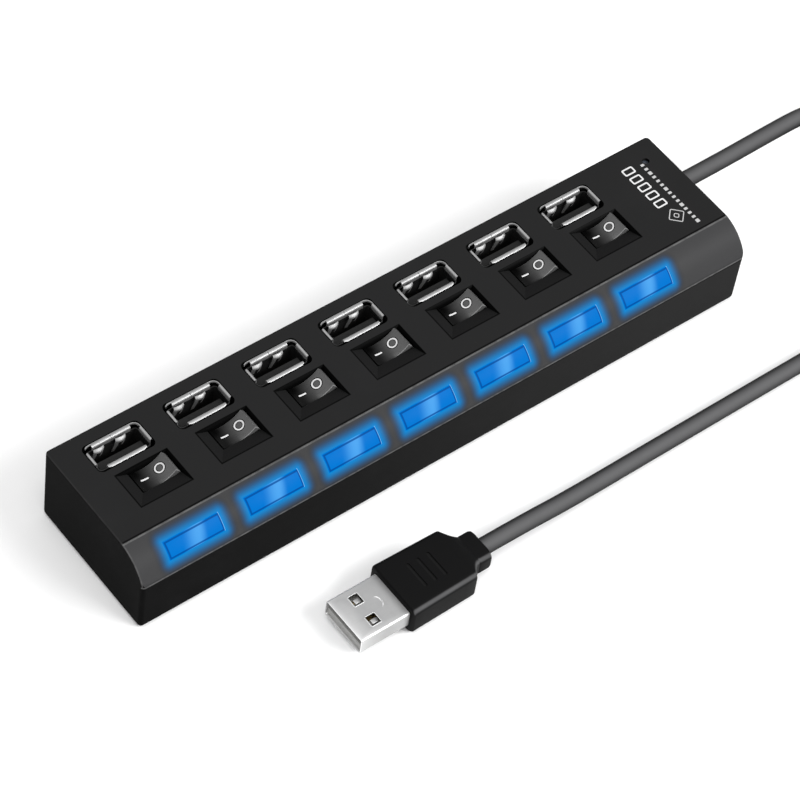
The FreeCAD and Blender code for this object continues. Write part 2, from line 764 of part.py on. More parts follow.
def build_port(i, x):
    """One socket: its folded sheet with four turned-out lips, and the tongue inside it."""
    tall = lip_top - board_top
    outer = box(f"shell_outer_{i}", (shell_x, shell_y, tall), (x, port_y), board_top)
    inner = box(
        f"shell_inner_{i}",
        (port_inner_x, port_inner_y, tall * 2),
        (x, port_y),
        board_top - tall / 2,
    )
    solids = [outer]
    reach_x = shell_x - lip_corner
    reach_y = shell_y - lip_corner
    low = lip_top - shell_sheet
    for side, name in ((-1, "front"), (1, "back")):
        at = (x, port_y + (shell_y / 2 + lip_long / 2) * side)
        size = (reach_x, lip_long, shell_sheet)
        solids.append(box(f"lip_{name}_{i}", size, at, low))
        at = (x + (shell_x / 2 + lip_short / 2) * side, port_y)
        size = (lip_short, reach_y, shell_sheet)
        solids.append(box(f"lip_end_{name}_{i}", size, at, low))
    for k, (leg, y) in enumerate(leg_places[2 * i - 2 : 2 * i], 1):
        size = (leg_x, shell_sheet, board_thick + pin_drop)
        solids.append(box(f"leg_{i}_{k}", size, (leg, y), board_floor - pin_drop))
    legs_and_sheet = fuse(f"shell_solid_{i}", solids)
    piece(f"port_shell_{i}", cut(f"shell_hollow_{i}", legs_and_sheet, inner))

    block = box(
        f"tongue_block_{i}", (port_inner_x, port_inner_y, tongue_base), (x, port_y), board_top
    )
    blade = box(
        f"tongue_blade_{i}",
        (tongue_x, tongue_y, tongue_top - board_top),
        (x, tongue_mid),
        board_top,
    )
    slots = []
    for k, offset in enumerate(CONTACT_OFFSETS, 1):
        size = (contact_x, contact_y, tongue_top - contact_tip - board_floor)
        slots.append(box(f"tongue_slot_{i}_{k}", size, (x + offset, contact_mid), board_floor))
    solid = fuse(f"tongue_solid_{i}", [block, blade])
    piece(f"port_tongue_{i}", cut(f"tongue_slotted_{i}", solid, slots))


def build_contacts():
    strips = []
    low = board_floor - pin_drop
    for i, x in enumerate(PORT_XS, 1):
        for k, offset in enumerate(CONTACT_OFFSETS, 1):
            size = (contact_x, contact_y, tongue_top - contact_tip - low)
            strips.append(box(f"strip_{i}_{k}", size, (x + offset, contact_mid), low))
    piece("port_contacts", together("strip_group", strips))


def build_board_parts():
    chip_at = right_end - chip_right
    chips = [
        box(f"chip_{k + 1}", (chip_x, chip_y, chip_z), (chip_at, y), board_top)
        for k in (0, 1)
        for y in [back_face - chip_back - chip_y / 2 - (chip_y + chip_gap) * k]
    ]
    piece("controller_chips", together("chip_group", chips))
    cans = [
        rod(f"can_{k + 1}", can_radius, can_high, (right_end - can_right, y, board_top))
        for k in (0, 1)
        for y in [back_face - can_back - can_radius - (can_radius * 2 + can_gap) * k]
    ]
    piece("filter_capacitors", together("can_group", cans))
    size = (crystal_x, crystal_y, crystal_z)
    at = (right_end - crystal_right, back_face - pilot_inset)
    piece("clock_crystal", box("crystal_can", size, at, board_top))
    lamps = []
    for i, x in enumerate(WINDOW_XS, 1):
        at = (x, back_face - led_inset, board_top)
        stem = rod(f"lamp_stem_{i}", led_radius, led_high - led_radius, at)
        dome = doc.addObject("Part::Sphere", f"lamp_dome_{i}")
        bind(dome, "Radius", led_radius)
        place(dome, x, back_face - led_inset, board_top + led_high - led_radius)
        lamps.append(fuse(f"lamp_{i}", [stem, dome]))
    piece("indicator_lamps", together("lamp_group", lamps))
    at = (right_end - pilot_right, back_face - pilot_inset, board_top)
    high = body_height - pilot_sunk - board_top
    piece("power_lamp", rod("pilot_rod", pilot_radius, high, at))


# --- switches ----------------------------------------------------------------------


def build_rocker(i, x):
    """A dished rocker with a pin on each side, tilted about its pivot to its pressed end."""
    body = new_body(f"rocker_body_{i}")
    side = sketch_on(body, "XZ_Plane", f"rocker_side_{i}", -(rocker_width / 2))
    top = root(rocker_radius * rocker_radius - rocker_half * rocker_half)
    low = root(rocker_radius * rocker_radius - rocker_under * rocker_under)
    end_chord = (low - rocker_half) * (low - rocker_half)
    end_chord = root(end_chord + (top + rocker_under) * (top + rocker_under))
    end_rise = rocker_radius - root(rocker_radius * rocker_radius - end_chord * end_chord / 4)
    outline(
        side,
        [
            (-low, -rocker_under),
            (low, -rocker_under),
            (rocker_half, top),
            (-rocker_half, top),
        ],
        {1: end_rise, 2: -rocker_dish, 3: end_rise},
    )
    pad(body, side, f"rocker_pad_{i}", rocker_width)
    half = rocker_width / 2 + trunnion_reach
    pins = sketch_on(body, "XZ_Plane", f"rocker_pins_{i}", -half)
    circle(pins, 0.0, 0.0, trunnion_radius)
    body.Tip = pad(body, pins, f"rocker_pin_{i}", half * 2)
    place(body, x, pivot_y, pivot_z, (0, -1, 0), rocker_tilt)
    piece(f"rocker_{i}", body)


def build_switch_frame(i, x):
    """The open box that carries one rocker by its pins."""
    tall = plate_under - board_top
    outer = box(
        f"frame_outer_{i}", (frame_half_x * 2, frame_half_y * 2, tall), (x, pivot_y), board_top
    )
    cavity = box(
        f"frame_cavity_{i}",
        (cavity_half * 2, mouth_y * 2, tall),
        (x, pivot_y),
        cavity_floor,
    )
    pins = rod(
        f"frame_pin_hole_{i}",
        trunnion_radius + trunnion_gap,
        frame_half_y * 4,
        (x, pivot_y + frame_half_y * 2, pivot_z),
        (1, 0, 0),
        90,
    )
    slots = [
        box(
            f"frame_slot_{i}_{k}",
            (blade_x, blade_y, cavity_floor - board_floor),
            (blade, pivot_y),
            board_floor,
        )
        for k, blade in enumerate(blade_xs[2 * i - 2 : 2 * i], 1)
    ]
    hollow = cut(f"frame_hollow_{i}", outer, cavity)
    drilled = cut(f"frame_drilled_{i}", hollow, pins)
    piece(f"switch_frame_{i}", cut(f"frame_slotted_{i}", drilled, slots))


def build_terminals():
    low = board_floor - pin_drop
    blades = [
        box(f"blade_{k}", (blade_x, blade_y, cavity_floor - low), (x, pivot_y), low)
        for k, x in enumerate(blade_xs, 1)
    ]
    piece("switch_terminals", together("blade_group", blades))


# --- lit windows -------------------------------------------------------------------


def build_window(i, x):
    """A clear insert: flush with the rounded slope outside, with a wider flange inside."""
    body = new_body(f"window_skin_{i}")
    section = sketch_on(body, "YZ_Plane", f"window_section_{i}", x - window_x / 2)
    outline(
        section,
        [
            (back_face, 0.0),
            (back_face, body_height),
            (slope_top, body_height),
            (front_face, slope_foot),
            (front_face, 0.0),
        ],
        {2: slope_bulge},
    )
    pad(body, section, f"window_skin_pad_{i}", window_x)
    block = slope_block(f"window_block_{i}", x, (window_x, window_up, wall * 3), -wall)
    pane = doc.addObject("Part::Common", f"window_pane_{i}")
    pane.Base = block
    pane.Tool = body
    size = (window_x + window_margin * 2, window_up + window_margin * 2, window_flange)
    flange = slope_block(f"window_flange_{i}", x, size, -wall - window_flange)
    piece(f"light_window_{i}", fuse(f"window_{i}", [pane, flange]))


# --- lead, grommet and plug --------------------------------------------------------


def build_grommet():
    """The moulded sleeve that holds the lead in the end wall, turned about its own axis."""
    body = new_body("grommet_body")
    side = sketch_on(body, "XY_Plane", "grommet_side")
    inside = inner_half - right_end
    outline(
        side,
        [
            (inside - flange_long, 0.0),
            (collar_long, 0.0),
            (collar_long, collar_radius),
            (0.0, collar_radius),
            (0.0, neck_radius),
            (inside, neck_radius),
            (inside, flange_radius),
            (inside - flange_long, flange_radius),
        ],
    )
    turned = body.newObject("PartDesign::Revolution", "grommet_turned")
    turned.Profile = side
    turned.ReferenceAxis = (side, ["H_Axis"])
    turned.Angle = 360

    def lip(middle, way):
        return close(middle.x, collar_long)

    body.Tip = rounded(body, turned, "grommet_lip", collar_long / 5, lip)
    place(body, right_end, back_face - cord_inset, cord_high)
    piece("cable_grommet", body)


def tube_path(points):
    """Straight runs joined by arcs, each as large as its two runs allow."""
    points = [Vector(*p) for p in points]
    edges, radii = [], []
    start = points[0]
    for before, corner, after in zip(points, points[1:], points[2:]):
        back, ahead = before - corner, after - corner
        turn = math.pi - back.getAngle(ahead)
        reach = 0.45 * min(back.Length, ahead.Length)
        radius = reach / math.tan(turn / 2)
        radii.append(radius)
        back.normalize()
        ahead.normalize()
        enter, leave = corner + back * reach, corner + ahead * reach
        to_middle = (back + ahead).normalize()
        middle = corner + to_middle * (radius / math.cos(turn / 2) - radius)
        edges.append(Part.LineSegment(start, enter).toShape())
        edges.append(Part.Arc(enter, middle, leave).toShape())
        start = leave
    edges.append(Part.LineSegment(start, points[-1]).toShape())
    return Part.Wire(edges), radii


def tube(node, points, thick):
    """A round tube along a route, checked by its volume."""
    path, radii = tube_path(points)
    start = Vector(*points[0])
    way = (Vector(*points[1]) - start).normalize()
    ring = Part.Wire(Part.Circle(start, way, thick / 2).toShape())
    solid = path.makePipeShell([ring], True, False)
    expected = math.pi * thick * thick / 4 * path.Length
    print(f"{node}: length {path.Length:.1f} volume ratio {solid.Volume / expected:.4f}")
    print(f"{node}: bend radii " + ", ".join(f"{radius:.0f}" for radius in radii))
    if abs(solid.Volume / expected - 1) > 0.01:
        raise ValueError(node + " has the wrong volume")
    made = doc.addObject("Part::Feature", node)
    made.Shape = solid
    piece(node, made)
    return path.Length


def build_cord():
    lengths = [
        tube("cord_hub_to_coil", HUB_TO_COIL, number(cord_thick)),
        tube("cord_coil_to_plug", COIL_TO_PLUG, number(cord_thick)),
    ]
    print(f"laid-out lead beside the coil: {sum(lengths):.1f}")
    at = (coil_x, coil_y, 0.0)
    ring = cut(
        "coil_ring",
        rod("coil_full", coil_outer, coil_high, at),
        rod("coil_void", coil_inner, coil_high, at),
    )
    doc.recompute()
    soft = doc.addObject("Part::Fillet", "coil_rounded")
    soft.Base = ring
    radius = number(coil_round)
    soft.Edges = [
        (n, radius, radius)
        for n, edge in enumerate(ring.Shape.Edges, 1)
        if close(edge.BoundBox.ZLength, 0)
    ]
    piece("cord_coil", soft)
    middle = (coil_x + (coil_inner + coil_outer) / 2, coil_y)
    inner = coil_outer - coil_inner
    band = cut(
        "tie_band",
        box("tie_outer", (inner + tie_thick * 2, tie_wide, coil_high + tie_thick), middle, 0.0),
        box("tie_inner", (inner, tie_wide, coil_high - tie_thick), middle, tie_thick),
    )
    piece("coil_tie", band)


def build_wires():
    """Four thin wires from the lead's inner end down to the board."""
    wires = []
    start_x = number(inner_half - flange_long)
    radius = number(wire_radius)
    bend = radius * 3
    outlet_y = number(back_face - cord_inset)
    for k in range(4):
        y = outlet_y + number(wire_pitch) * (k - 1.5)
        a = Vector(start_x, y, number(cord_high))
        b = Vector(start_x - number(wire_run), y, number(cord_high))
        c = b + Vector(-bend, 0, -bend)
        mid = b + Vector(-bend * math.sin(math.pi / 4), 0, bend * (math.cos(math.pi / 4) - 1))
        d = Vector(c.x, y, number(board_top))
        path = Part.Wire(
            [
                Part.LineSegment(a, b).toShape(),
                Part.Arc(b, mid, c).toShape(),
                Part.LineSegment(c, d).toShape(),
            ]
        )
        ring = Part.Wire(Part.Circle(a, Vector(-1, 0, 0), radius).toShape())
        wires.append(path.makePipeShell([ring], True, False))
    made = doc.addObject("Part::Feature", "wire_group")
    made.Shape = Part.makeCompound(wires)
    piece("lead_wires", made)


def build_plug():
    """The flat plug: its moulded grip, the folded shell, the insulator and four strips."""
    body = new_body("grip_body")
    plan = sketch_on(body, "XY_Plane", "grip_plan")
    wide_end = grip_long
    neck_start = grip_long + grip_taper
    end = neck_start + grip_neck
    outline(
        plan,
        [
            (0.0, -grip_half),
            (wide_end, -grip_half),
            (neck_start, -collar_half),
            (end, -collar_half),
            (end, collar_half),
            (neck_start, collar_half),
            (wide_end, grip_half),
            (0.0, grip_half),
        ],
        {1: -grip_hollow, 5: -grip_hollow},
    )
    block = pad(body, plan, "grip_block", grip_high)

    def folds(middle, way):
        return close(middle.z, plug_mid) and middle.x > 0.5

    folded = rounded(body, block, "grip_folds", fold_round, folds)

    def long_edges(middle, way):
        flat = abs(middle.z) < 0.01 or close(middle.z, grip_high)
        return flat and 0.1 < middle.x < number(end) - 0.1

    soft = rounded(body, folded, "grip_edges", grip_round, long_edges)
    body.Tip = soft
    place(body, -plug_front, -plug_away, 0.0)
    socket = box(
        "grip_socket",
        (plug_inside * 2, plug_y, plug_z),
        (-plug_front, -plug_away),
        plug_mid - plug_z / 2,
    )
    piece("plug_grip", cut("grip_open", body, socket))

    mouth = -plug_front - plug_x
    long = plug_x + plug_inside
    middle = mouth + long / 2
    low = plug_mid - plug_z / 2
    outer = box("plug_outer", (long, plug_y, plug_z), (middle, -plug_away), low)
    inner = box(
        "plug_inner",
        (long * 2, plug_y - shell_sheet * 2, plug_z - shell_sheet * 2),
        (middle, -plug_away),
        low + shell_sheet,
    )
    windows = [
        box(
            f"plug_window_{k}",
            (slot_x, slot_y, plug_z * 2),
            (mouth + slot_back, slot_half * side - plug_away),
            low - plug_z / 2,
        )
        for k, side in ((1, -1), (2, 1))
    ]
    sheet_tube = cut("plug_tube", outer, inner)
    piece("plug_shell", cut("plug_pierced", sheet_tube, windows))

    floor = low + shell_sheet
    core_long = long - plug_tip
    core_middle = mouth + plug_tip + core_long / 2
    core = box(
        "plug_core",
        (core_long, plug_y - shell_sheet * 2, insulator_z),
        (core_middle, -plug_away),
        floor,
    )
    offsets = [contact_pitch * (k - 1.5) for k in range(4)]
    at_x = mouth + plug_strip_back + plug_strip_x / 2
    strip = (plug_strip_x, plug_strip_y, plug_strip_z)
    top = floor + insulator_z - plug_strip_z
    slots = [
        box(f"core_slot_{k}", strip, (at_x, offset - plug_away), top)
        for k, offset in enumerate(offsets, 1)
    ]
    piece("plug_insulator", cut("core_slotted", core, slots))
    strips = [
        box(f"plug_strip_{k}", strip, (at_x, offset - plug_away), top)
        for k, offset in enumerate(offsets, 1)
    ]
    piece("plug_contacts", together("plug_strip_group", strips))


# --- the whole hub -----------------------------------------------------------------

build_housing()
build_cover()
build_screws()
build_board()
for number_on_hub, port_x in enumerate(PORT_XS, 1):
    build_port(number_on_hub, port_x)
build_contacts()
build_board_parts()
for number_on_hub, pivot_x in enumerate(PIVOT_XS, 1):
    build_rocker(number_on_hub, pivot_x)
    build_switch_frame(number_on_hub, pivot_x)
build_terminals()
for number_on_hub, window_at in enumerate(WINDOW_XS, 1):
    build_window(number_on_hub, window_at)
build_grommet()
build_cord()
build_wires()
build_plug()
doc.recompute()

for thing in doc.Objects:
    bad = [state for state in thing.State if state in ("Invalid", "Error")]
    if bad:
        raise ValueError(f"{thing.Label} is {bad}")
for node, made in PIECES.items():
    shape = made.Shape
    if shape.isNull() or not shape.isValid() or not shape.Solids:
        raise ValueError(node + " is not a valid solid")

os.makedirs("parts", exist_ok=True)
for node, made in PIECES.items():
    made.Shape.exportStep(f"parts/{node}.step")
print(f"{len(PIECES)} sub-parts")
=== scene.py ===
"""A long black desk hub with seven sockets, seven rocker switches, seven lit windows and one lead.

Everything is in metres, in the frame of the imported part: +X runs along the hub towards its lead,
-Y is the window side and +Z is up.
"""

import json
import logging
import math
from collections.abc import Callable, Iterable, Sequence
from dataclasses import dataclass
from enum import Enum

import bmesh
import bpy
from mathutils import Matrix, Vector


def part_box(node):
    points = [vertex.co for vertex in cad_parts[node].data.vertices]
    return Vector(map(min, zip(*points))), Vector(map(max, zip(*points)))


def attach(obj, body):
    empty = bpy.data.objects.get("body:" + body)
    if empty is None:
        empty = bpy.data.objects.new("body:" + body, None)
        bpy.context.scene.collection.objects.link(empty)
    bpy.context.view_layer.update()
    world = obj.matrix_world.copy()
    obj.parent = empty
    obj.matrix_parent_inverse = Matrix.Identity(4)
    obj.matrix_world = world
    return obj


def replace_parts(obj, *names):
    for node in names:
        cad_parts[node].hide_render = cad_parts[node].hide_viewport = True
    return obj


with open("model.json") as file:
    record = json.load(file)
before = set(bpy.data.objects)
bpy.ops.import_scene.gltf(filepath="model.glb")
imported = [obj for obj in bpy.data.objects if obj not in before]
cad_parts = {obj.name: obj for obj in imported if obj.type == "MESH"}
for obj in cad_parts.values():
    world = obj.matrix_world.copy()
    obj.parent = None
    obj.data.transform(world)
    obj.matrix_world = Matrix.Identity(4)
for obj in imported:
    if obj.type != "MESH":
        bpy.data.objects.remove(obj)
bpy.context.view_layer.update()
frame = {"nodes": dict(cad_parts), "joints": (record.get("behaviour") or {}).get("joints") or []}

LOG = logging.getLogger("hub")
MM = 0.001
PORTS = 7
SHARP = 35.0
TILT = math.radians(-11.2)
Colour = tuple[float, float, float]
BLACK: Colour = (0.0, 0.0, 0.0)


class Slot(Enum):
    """The record's material slots, by name."""

    SOCKET = "socket_nickel"
    ROCKER = "rocker_gloss"
    WINDOW = "window_blue"
    LEAD = "cord_black"
    GRIP = "grip_black"
    PLUG = "plug_nickel"


# --- shader graphs ------------------------------------------------------------------


class Signal:
    """One output of a shader graph, with arithmetic for values."""

    def __init__(self, graph: "Graph", socket: bpy.types.NodeSocket) -> None:
        """Keeps the graph and the socket.

        Args:
            graph: The graph that the socket belongs to.
            socket: The output socket.
        """
        self.graph = graph
        self.socket = socket

    def _math(self, operation: str, *values: "Signal | float") -> "Signal":
        """Adds one Math node."""
        settings = {"operation": operation}
        return self.graph.node("ShaderNodeMath", settings, dict(enumerate(values)))

    def __add__(self, other: "Signal | float") -> "Signal":
        """Sum."""
        return self._math("ADD", self, other)

    __radd__ = __add__

    def __sub__(self, other: "Signal | float") -> "Signal":
        """Difference."""
        return self._math("SUBTRACT", self, other)

    def __rsub__(self, other: float) -> "Signal":
        """Difference, reflected."""
        return self._math("SUBTRACT", other, self)

    def __mul__(self, other: "Signal | float") -> "Signal":
        """Product."""
        return self._math("MULTIPLY", self, other)

    __rmul__ = __mul__

    def __truediv__(self, other: "Signal | float") -> "Signal":
        """Quotient."""
        return self._math("DIVIDE", self, other)

    def __rtruediv__(self, other: float) -> "Signal":
        """Quotient, reflected."""
        return self._math("DIVIDE", other, self)

    def __pow__(self, other: float) -> "Signal":
        """Power."""
        return self._math("POWER", self, other)

    def __rpow__(self, other: float) -> "Signal":
        """Power, reflected."""
        return self._math("POWER", other, self)

    def __abs__(self) -> "Signal":
        """Absolute value."""
        return self._math("ABSOLUTE", self)

    def at_least(self, other: "Signal | float") -> "Signal":
        """The larger of the two."""
        return self._math("MAXIMUM", self, other)

    def at_most(self, other: "Signal | float") -> "Signal":
        """The smaller of the two."""
        return self._math("MINIMUM", self, other)

    def rounded(self) -> "Signal":
        """The nearest whole number."""
        return self._math("ROUND", self)

    def root(self) -> "Signal":
        """Square root."""
        return self._math("SQRT", self)

    def sine(self) -> "Signal":
        """Sine of the value in radians."""
        return self._math("SINE", self)

    def step(self, low: float, high: float) -> "Signal":
        """A smooth step: 0 below low, 1 above high.

        Args:
            low: The value where the step starts.
            high: The value where it ends; below low, the step falls.

        Returns:
            The stepped signal, from 0 to 1.
        """
        rising = low < high
        ends = (0.0, 1.0) if rising else (1.0, 0.0)
        settings = {"interpolation_type": "SMOOTHSTEP"}
        inputs = {
            "Value": self,
            "From Min": min(low, high),
            "From Max": max(low, high),
            "To Min": ends[0],
            "To Max": ends[1],
        }
        return self.graph.node("ShaderNodeMapRange", settings, inputs)


class Graph:
    """A material's node tree, and the one way in which its nodes are made."""

    def __init__(self, name: str) -> None:
        """Starts an empty material.

        Args:
            name: The material's name.
        """
        self.material = bpy.data.materials.new(name)
        self.material.use_nodes = True
        self.nodes = self.material.node_tree.nodes
        self.links = self.material.node_tree.links
        self.nodes.clear()

    def node(
        self,
        kind: str,
        settings: dict[str, object] | None = None,
        inputs: dict[int | str, object] | None = None,
        output: int | str = 0,
    ) -> Signal | None:
        """Adds a node: its settings first, then its sockets' values or links.

        Args:
            kind: The node's type.
            settings: The node's own properties.
            inputs: Values or signals by socket name or index.
            output: The output that the signal stands for.

        Returns:
            The chosen output, or nothing from a node without outputs.
        """
        made = self.nodes.new(kind)
        for key, value in (settings or {}).items():
            setattr(made, key, value)
        for key, value in (inputs or {}).items():
            socket = self._socket(made.inputs, key)
            if isinstance(value, Signal):
                self.links.new(value.socket, socket)
            else:
                socket.default_value = value
        return Signal(self, self._socket(made.outputs, output)) if made.outputs else None

    @staticmethod
    def _socket(
        sockets: bpy.types.NodeInputs | bpy.types.NodeOutputs, key: int | str
    ) -> bpy.types.NodeSocket:
        """Finds a socket.

        Args:
            sockets: A node's inputs or outputs.
            key: The socket's index, its identifier or its name.

        Returns:
            The socket.
        """
        if isinstance(key, int):
            return sockets[key]
        for socket in sockets:
            if socket.identifier == key:
                return socket
        return sockets[key]

    def _split(self, vector: Signal) -> list[Signal]:
        """The three parts of a vector."""
        return [self.node("ShaderNodeSeparateXYZ", None, {0: vector}, axis) for axis in range(3)]

    def place(self) -> tuple[Signal, Signal, Signal, Signal]:
        """The object's own coordinates: the vector, and x, y and z in metres."""
        vector = self.node("ShaderNodeTexCoord", output="Object")
        return vector, *self._split(vector)

    def facing(self) -> tuple[Signal, Signal, Signal]:
        """The surface's own direction in the object: x, y and z."""
        return tuple(self._split(self.node("ShaderNodeTexCoord", output="Normal")))

    def noise(
        self, vector: Signal, size: float, detail: float = 3.0, rough: float = 0.5
    ) -> Signal:
        """Fractal noise whose features are about size metres across, from 0 to 1."""
        inputs = {"Vector": vector, "Scale": 1.0 / size, "Detail": detail, "Roughness": rough}
        return self.node("ShaderNodeTexNoise", None, inputs)

    def cells(self, vector: Signal, size: float, feature: str = "F1") -> Signal:
        """Distance in cells of about size metres, from 0 to about 1."""
        inputs = {"Vector": vector, "Scale": 1.0 / size}
        return self.node("ShaderNodeTexVoronoi", {"feature": feature}, inputs)

    def stretched(self, vector: Signal, scale: Sequence[float]) -> Signal:
        """The coordinates, scaled axis by axis."""
        inputs = {0: vector, 1: tuple(scale)}
        return self.node("ShaderNodeVectorMath", {"operation": "MULTIPLY"}, inputs)

    def blend(self, factor: Signal | float, a: Signal | Colour, b: Signal | Colour) -> Signal:
        """Mixes two colours.

        Args:
            factor: 0 gives a and 1 gives b.
            a: A colour or a colour signal.
            b: A colour or a colour signal.

        Returns:
            The mixed colour.
        """
        inputs: dict[int | str, object] = {"Factor_Float": factor}
        for key, value in (("A_Color", a), ("B_Color", b)):
            inputs[key] = value if isinstance(value, Signal) else (*value, 1.0)
        return self.node("ShaderNodeMix", {"data_type": "RGBA"}, inputs, "Result_Color")

    def bump(self, height: Signal, depth: float, strength: float = 1.0) -> Signal:
        """A bump whose full height is depth metres."""
        inputs = {"Strength": strength, "Distance": depth, "Height": height}
        return self.node("ShaderNodeBump", None, inputs)

    def close(self, **sockets: object) -> bpy.types.Material:
        """Ends the graph in one surface shader.

        Args:
            **sockets: Values or signals by the shader's socket names, with _ for a space.

        Returns:
            The finished material.
        """
        inputs: dict[int | str, object] = {}
        for key, value in sockets.items():
            if isinstance(value, tuple) and len(value) == 3:
                value = (*value, 1.0)
            inputs[key.replace("_", " ")] = value
        shader = self.node("ShaderNodeBsdfPrincipled", None, inputs)
        self.node("ShaderNodeOutputMaterial", None, {"Surface": shader})
        return self.material


_MATERIALS: dict[str, bpy.types.Material] = {}


@dataclass(frozen=True)
class Finish:
    """A surface finish that makes its material once."""

    name: str

    def build(self) -> bpy.types.Material:
        """Makes the material."""
        raise NotImplementedError

    def material(self) -> bpy.types.Material:
        """Makes the material at its first use.

        Returns:
            The material.
        """
        if self.name not in _MATERIALS:
            _MATERIALS[self.name] = self.build()
        return _MATERIALS[self.name]


@dataclass(frozen=True)
class MouldedPlastic(Finish):
    """Spark-eroded moulded plastic with fine grain, faint smudges and worn high spots."""

    colour: Colour = (0.02, 0.02, 0.02)
    roughness: float = 0.5
    specular: float = 0.35
    grain: float = 0.0004
    grain_depth: float = 0.00002
    smudge: float = 0.06

    def build(self) -> bpy.types.Material:
        """Makes the material.

        Returns:
            The finished material.
        """
        graph = Graph(self.name)
        vector, _, _, _ = graph.place()
        grain = graph.noise(vector, self.grain, 2.0)
        cloud = graph.noise(vector, 0.012, 3.0)
        worn = grain.step(0.62, 0.78) * 0.35 + cloud.step(0.45, 0.75) * 0.25
        light = tuple(min(1.0, c * 1.5 + 0.004) for c in self.colour)
        return graph.close(
            Base_Color=graph.blend(worn, self.colour, light),
            Roughness=cloud * self.smudge + grain * 0.05 + (self.roughness - 0.05),
            Specular_IOR_Level=self.specular,
            Normal=graph.bump(grain, self.grain_depth, 0.5),
        )


@dataclass(frozen=True)
class Slope:
    """The housing's sizes that its finish follows."""

    length: float = 161.5 * MM
    height: float = 20.8 * MM
    front: float = -17.65 * MM
    top: float = -10.05 * MM
    foot: float = 14.1 * MM
    bulge: float = 1.4 * MM
    window_first: float = -66.25 * MM
    window_pitch: float = 20.0 * MM
    window_half: float = 6.95 * MM
    window_up: float = 2.15 * MM
    window_place: float = 5.25 * MM
    pivot_first: float = -64.32 * MM
    pivot_y: float = 1.93 * MM
    pocket_left: float = 7.9 * MM
    pocket_right: float = 5.0 * MM
    pocket_front: float = 6.47 * MM
    pocket_back: float = 2.97 * MM

    @property
    def run(self) -> float:
        """Depth of the slope."""
        return self.top - self.front

    @property
    def drop(self) -> float:
        """Height of the slope."""
        return self.height - self.foot

    @property
    def chord(self) -> float:
        """Straight length of the slope."""
        return math.hypot(self.run, self.drop)

    @property
    def angle(self) -> float:
        """Steepness of the slope, in radians."""
        return math.atan2(self.drop, self.run)

    @property
    def radius(self) -> float:
        """Radius of the slope's rounding."""
        return (self.chord**2 / 4 + self.bulge**2) / (2 * self.bulge)

    def rise(self, along: float) -> float:
        """Height of the rounded slope over its chord, at a distance from the chord's middle."""
        return math.sqrt(self.radius**2 - along**2) - (self.radius - self.bulge)


SLOPE = Slope()


